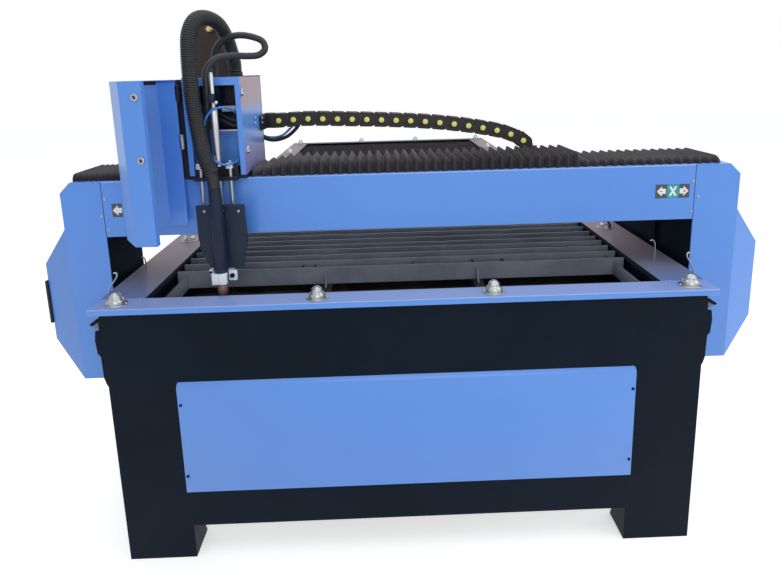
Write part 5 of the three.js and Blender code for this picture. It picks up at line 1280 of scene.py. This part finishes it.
def makeTorch():
    x, y = torch["at"]
    bm = bmesh.new()
    putStamp(bm, turnedStamp(torch["handle"], 36), move(x, y, 0))
    addPiece("torchHandle", bm, "z_slide", [torchPlastic], ["torch_body"], smooth=40)
    bm = bmesh.new()
    putStamp(bm, turnedStamp(torch["nozzle"], 32), move(x, y, 0))
    addPiece("nozzleCup", bm, "z_slide", [copperTip], ["torch_nozzle"], smooth=40)
    bm = bmesh.new()
    for part in ("block", "ear", "neck", "horn"):
        boxAt(bm, *torch[part], 1.2)
    boxAt(bm, *torch["split"], 0.1, 2)
    bolt = turnedStamp(screws["hex"], 18)
    putStamp(bm, bolt, move(*torch["boltAt"]) @ turn(90, "X"), 1)
    putStamp(bm, bolt, move(*torch["hornBolt"]) @ turn(90, "X") @ Matrix.Scale(torch["hornBoltSize"], 4), 1)
    addPiece("clampBlock", bm, "z_slide", [whiteBlock, blackPaint, greyPart], ["torch_clamp"])
    bm = bmesh.new()
    depth, height = torch["rodBlockAt"]
    width, deep, tall = torch["rodBlock"]
    block = blockStamp((width, deep, tall), 1.4)
    pan = turnedStamp(screws["pan"], 14)
    right, up, size = torch["sideScrew"]
    for rodX in torch["rodX"]:
        putStamp(bm, block, move(rodX, depth, height))
        putStamp(bm, pan, move(rodX, depth, height + tall / 2), 1)
        side = move(rodX + right, depth - deep / 2, height + up)
        putStamp(bm, pan, side @ turn(90, "X") @ Matrix.Scale(size, 4), 1)
    boxAt(bm, *torch["crossBar"], 1.0, 2)
    putStamp(bm, turnedStamp(torch["lugRing"], 18), move(*torch["lugRingAt"]) @ turn(90, "X"), 2)
    boxAt(bm, *torch["lug"], 1.0, 2)
    addPiece("rodBlocks", bm, "carriage", [whiteBlock, zincPlate, mattBlack], ["rod_support"])


makeTorch()
print("door parts and torch made")


# ends of the beams at the front corners: a torn-edged black plate over each guide's end
corners = {"plate": [(812, 723), (818, 727), (836, 714), (829.5, 709), (812.5, 720)],
           "flap": [(799, 745), (806, 745), (811.8, 722), (812.5, 695), (823, 695), (826.5, 668), (823.5, 630),
                    (816.5, 622), (815.5, 560), (810, 540), (799, 520)],
           "front": 22, "thick": 5}


def makeCornerPlates():
    bm = bmesh.new()
    for sign in (-1, 1):
        for line in (corners["plate"], corners["flap"]):
            form = plateForm([(sign * x, z) for x, z in line], corners["thick"], 0.3)
            putStamp(bm, form, move(0, corners["front"], 0))
    bmesh.ops.recalc_face_normals(bm, faces=bm.faces)
    addPiece("cornerPlates", bm, "bed", [blackPaint], smooth=0)


makeCornerPlates()
print("corner plates made")


studio = {"floorSize": 40, "floorColor": (0.86, 0.87, 0.88, 1), "worldColor": (1, 1, 1, 1),
          "worldStrength": 0.5, "floorLift": 0.5,
          # name, place and aim in mm on the table, size in m, power in W
          "lamps": [("topPanel", (0, 900, 3600), (0, 1100, 700), (4.5, 4.5), 66),
                    ("frontPanel", (500, -3300, 2500), (0, 300, 800), (3.0, 2.0), 38),
                    ("rightPanel", (3200, -400, 2200), (0, 800, 800), (2.0, 2.0), 22)]}


def makeStudio():
    world = bpy.data.worlds.new("studio")
    world.use_nodes = True
    tree = world.node_tree
    sky = tree.nodes["Background"]
    sky.inputs["Color"].default_value = studio["worldColor"]
    seen = node(tree, "ShaderNodeLightPath")
    direct = mathNode(tree, "MAXIMUM", seen.outputs["Is Camera Ray"], seen.outputs["Is Glossy Ray"])
    strength = mathNode(tree, "MAXIMUM", direct, studio["worldStrength"])
    tree.links.new(strength, sky.inputs["Strength"])
    bpy.context.scene.world = world
    bm = bmesh.new()
    bmesh.ops.create_grid(bm, x_segments=8, y_segments=8, size=studio["floorSize"] / 2)
    mesh = bpy.data.meshes.new("floor")
    bm.to_mesh(mesh)
    bm.free()
    floor = bpy.data.objects.new("floor", mesh)
    bpy.context.collection.objects.link(floor)
    material = bpy.data.materials.new("paleFloor")
    material.use_nodes = True
    floorTree = material.node_tree
    shader = floorTree.nodes["Principled BSDF"]
    shader.inputs["Roughness"].default_value = 0.6
    shader.inputs["Specular IOR Level"].default_value = 0.2
    cloud = noiseOn(floorTree, 3.0)
    pale = studio["floorColor"]
    darker = tuple(value * 0.98 for value in pale[:3]) + (1,)
    floorTree.links.new(mixColor(floorTree, cloud, pale, darker), shader.inputs["Base Color"])
    shader.inputs["Emission Color"].default_value = (1, 1, 1, 1)
    seen = node(floorTree, "ShaderNodeLightPath")
    direct = mathNode(floorTree, "MAXIMUM", seen.outputs["Is Camera Ray"], seen.outputs["Is Glossy Ray"])
    floorTree.links.new(mathNode(floorTree, "MULTIPLY", direct, studio["floorLift"]),
                        shader.inputs["Emission Strength"])
    mesh.materials.append(material)
    for name, place, aim, size, power in studio["lamps"]:
        data = bpy.data.lights.new(name, "AREA")
        data.shape = "RECTANGLE"
        data.size, data.size_y = size
        data.energy = power
        light = bpy.data.objects.new(name, data)
        light.location = at(*place)
        toward = at(*aim) - light.location
        light.rotation_euler = toward.to_track_quat("-Z", "Y").to_euler()
        bpy.context.collection.objects.link(light)


makeStudio()
bpy.context.scene.view_settings.view_transform = "Standard"
print("floor and lights set")
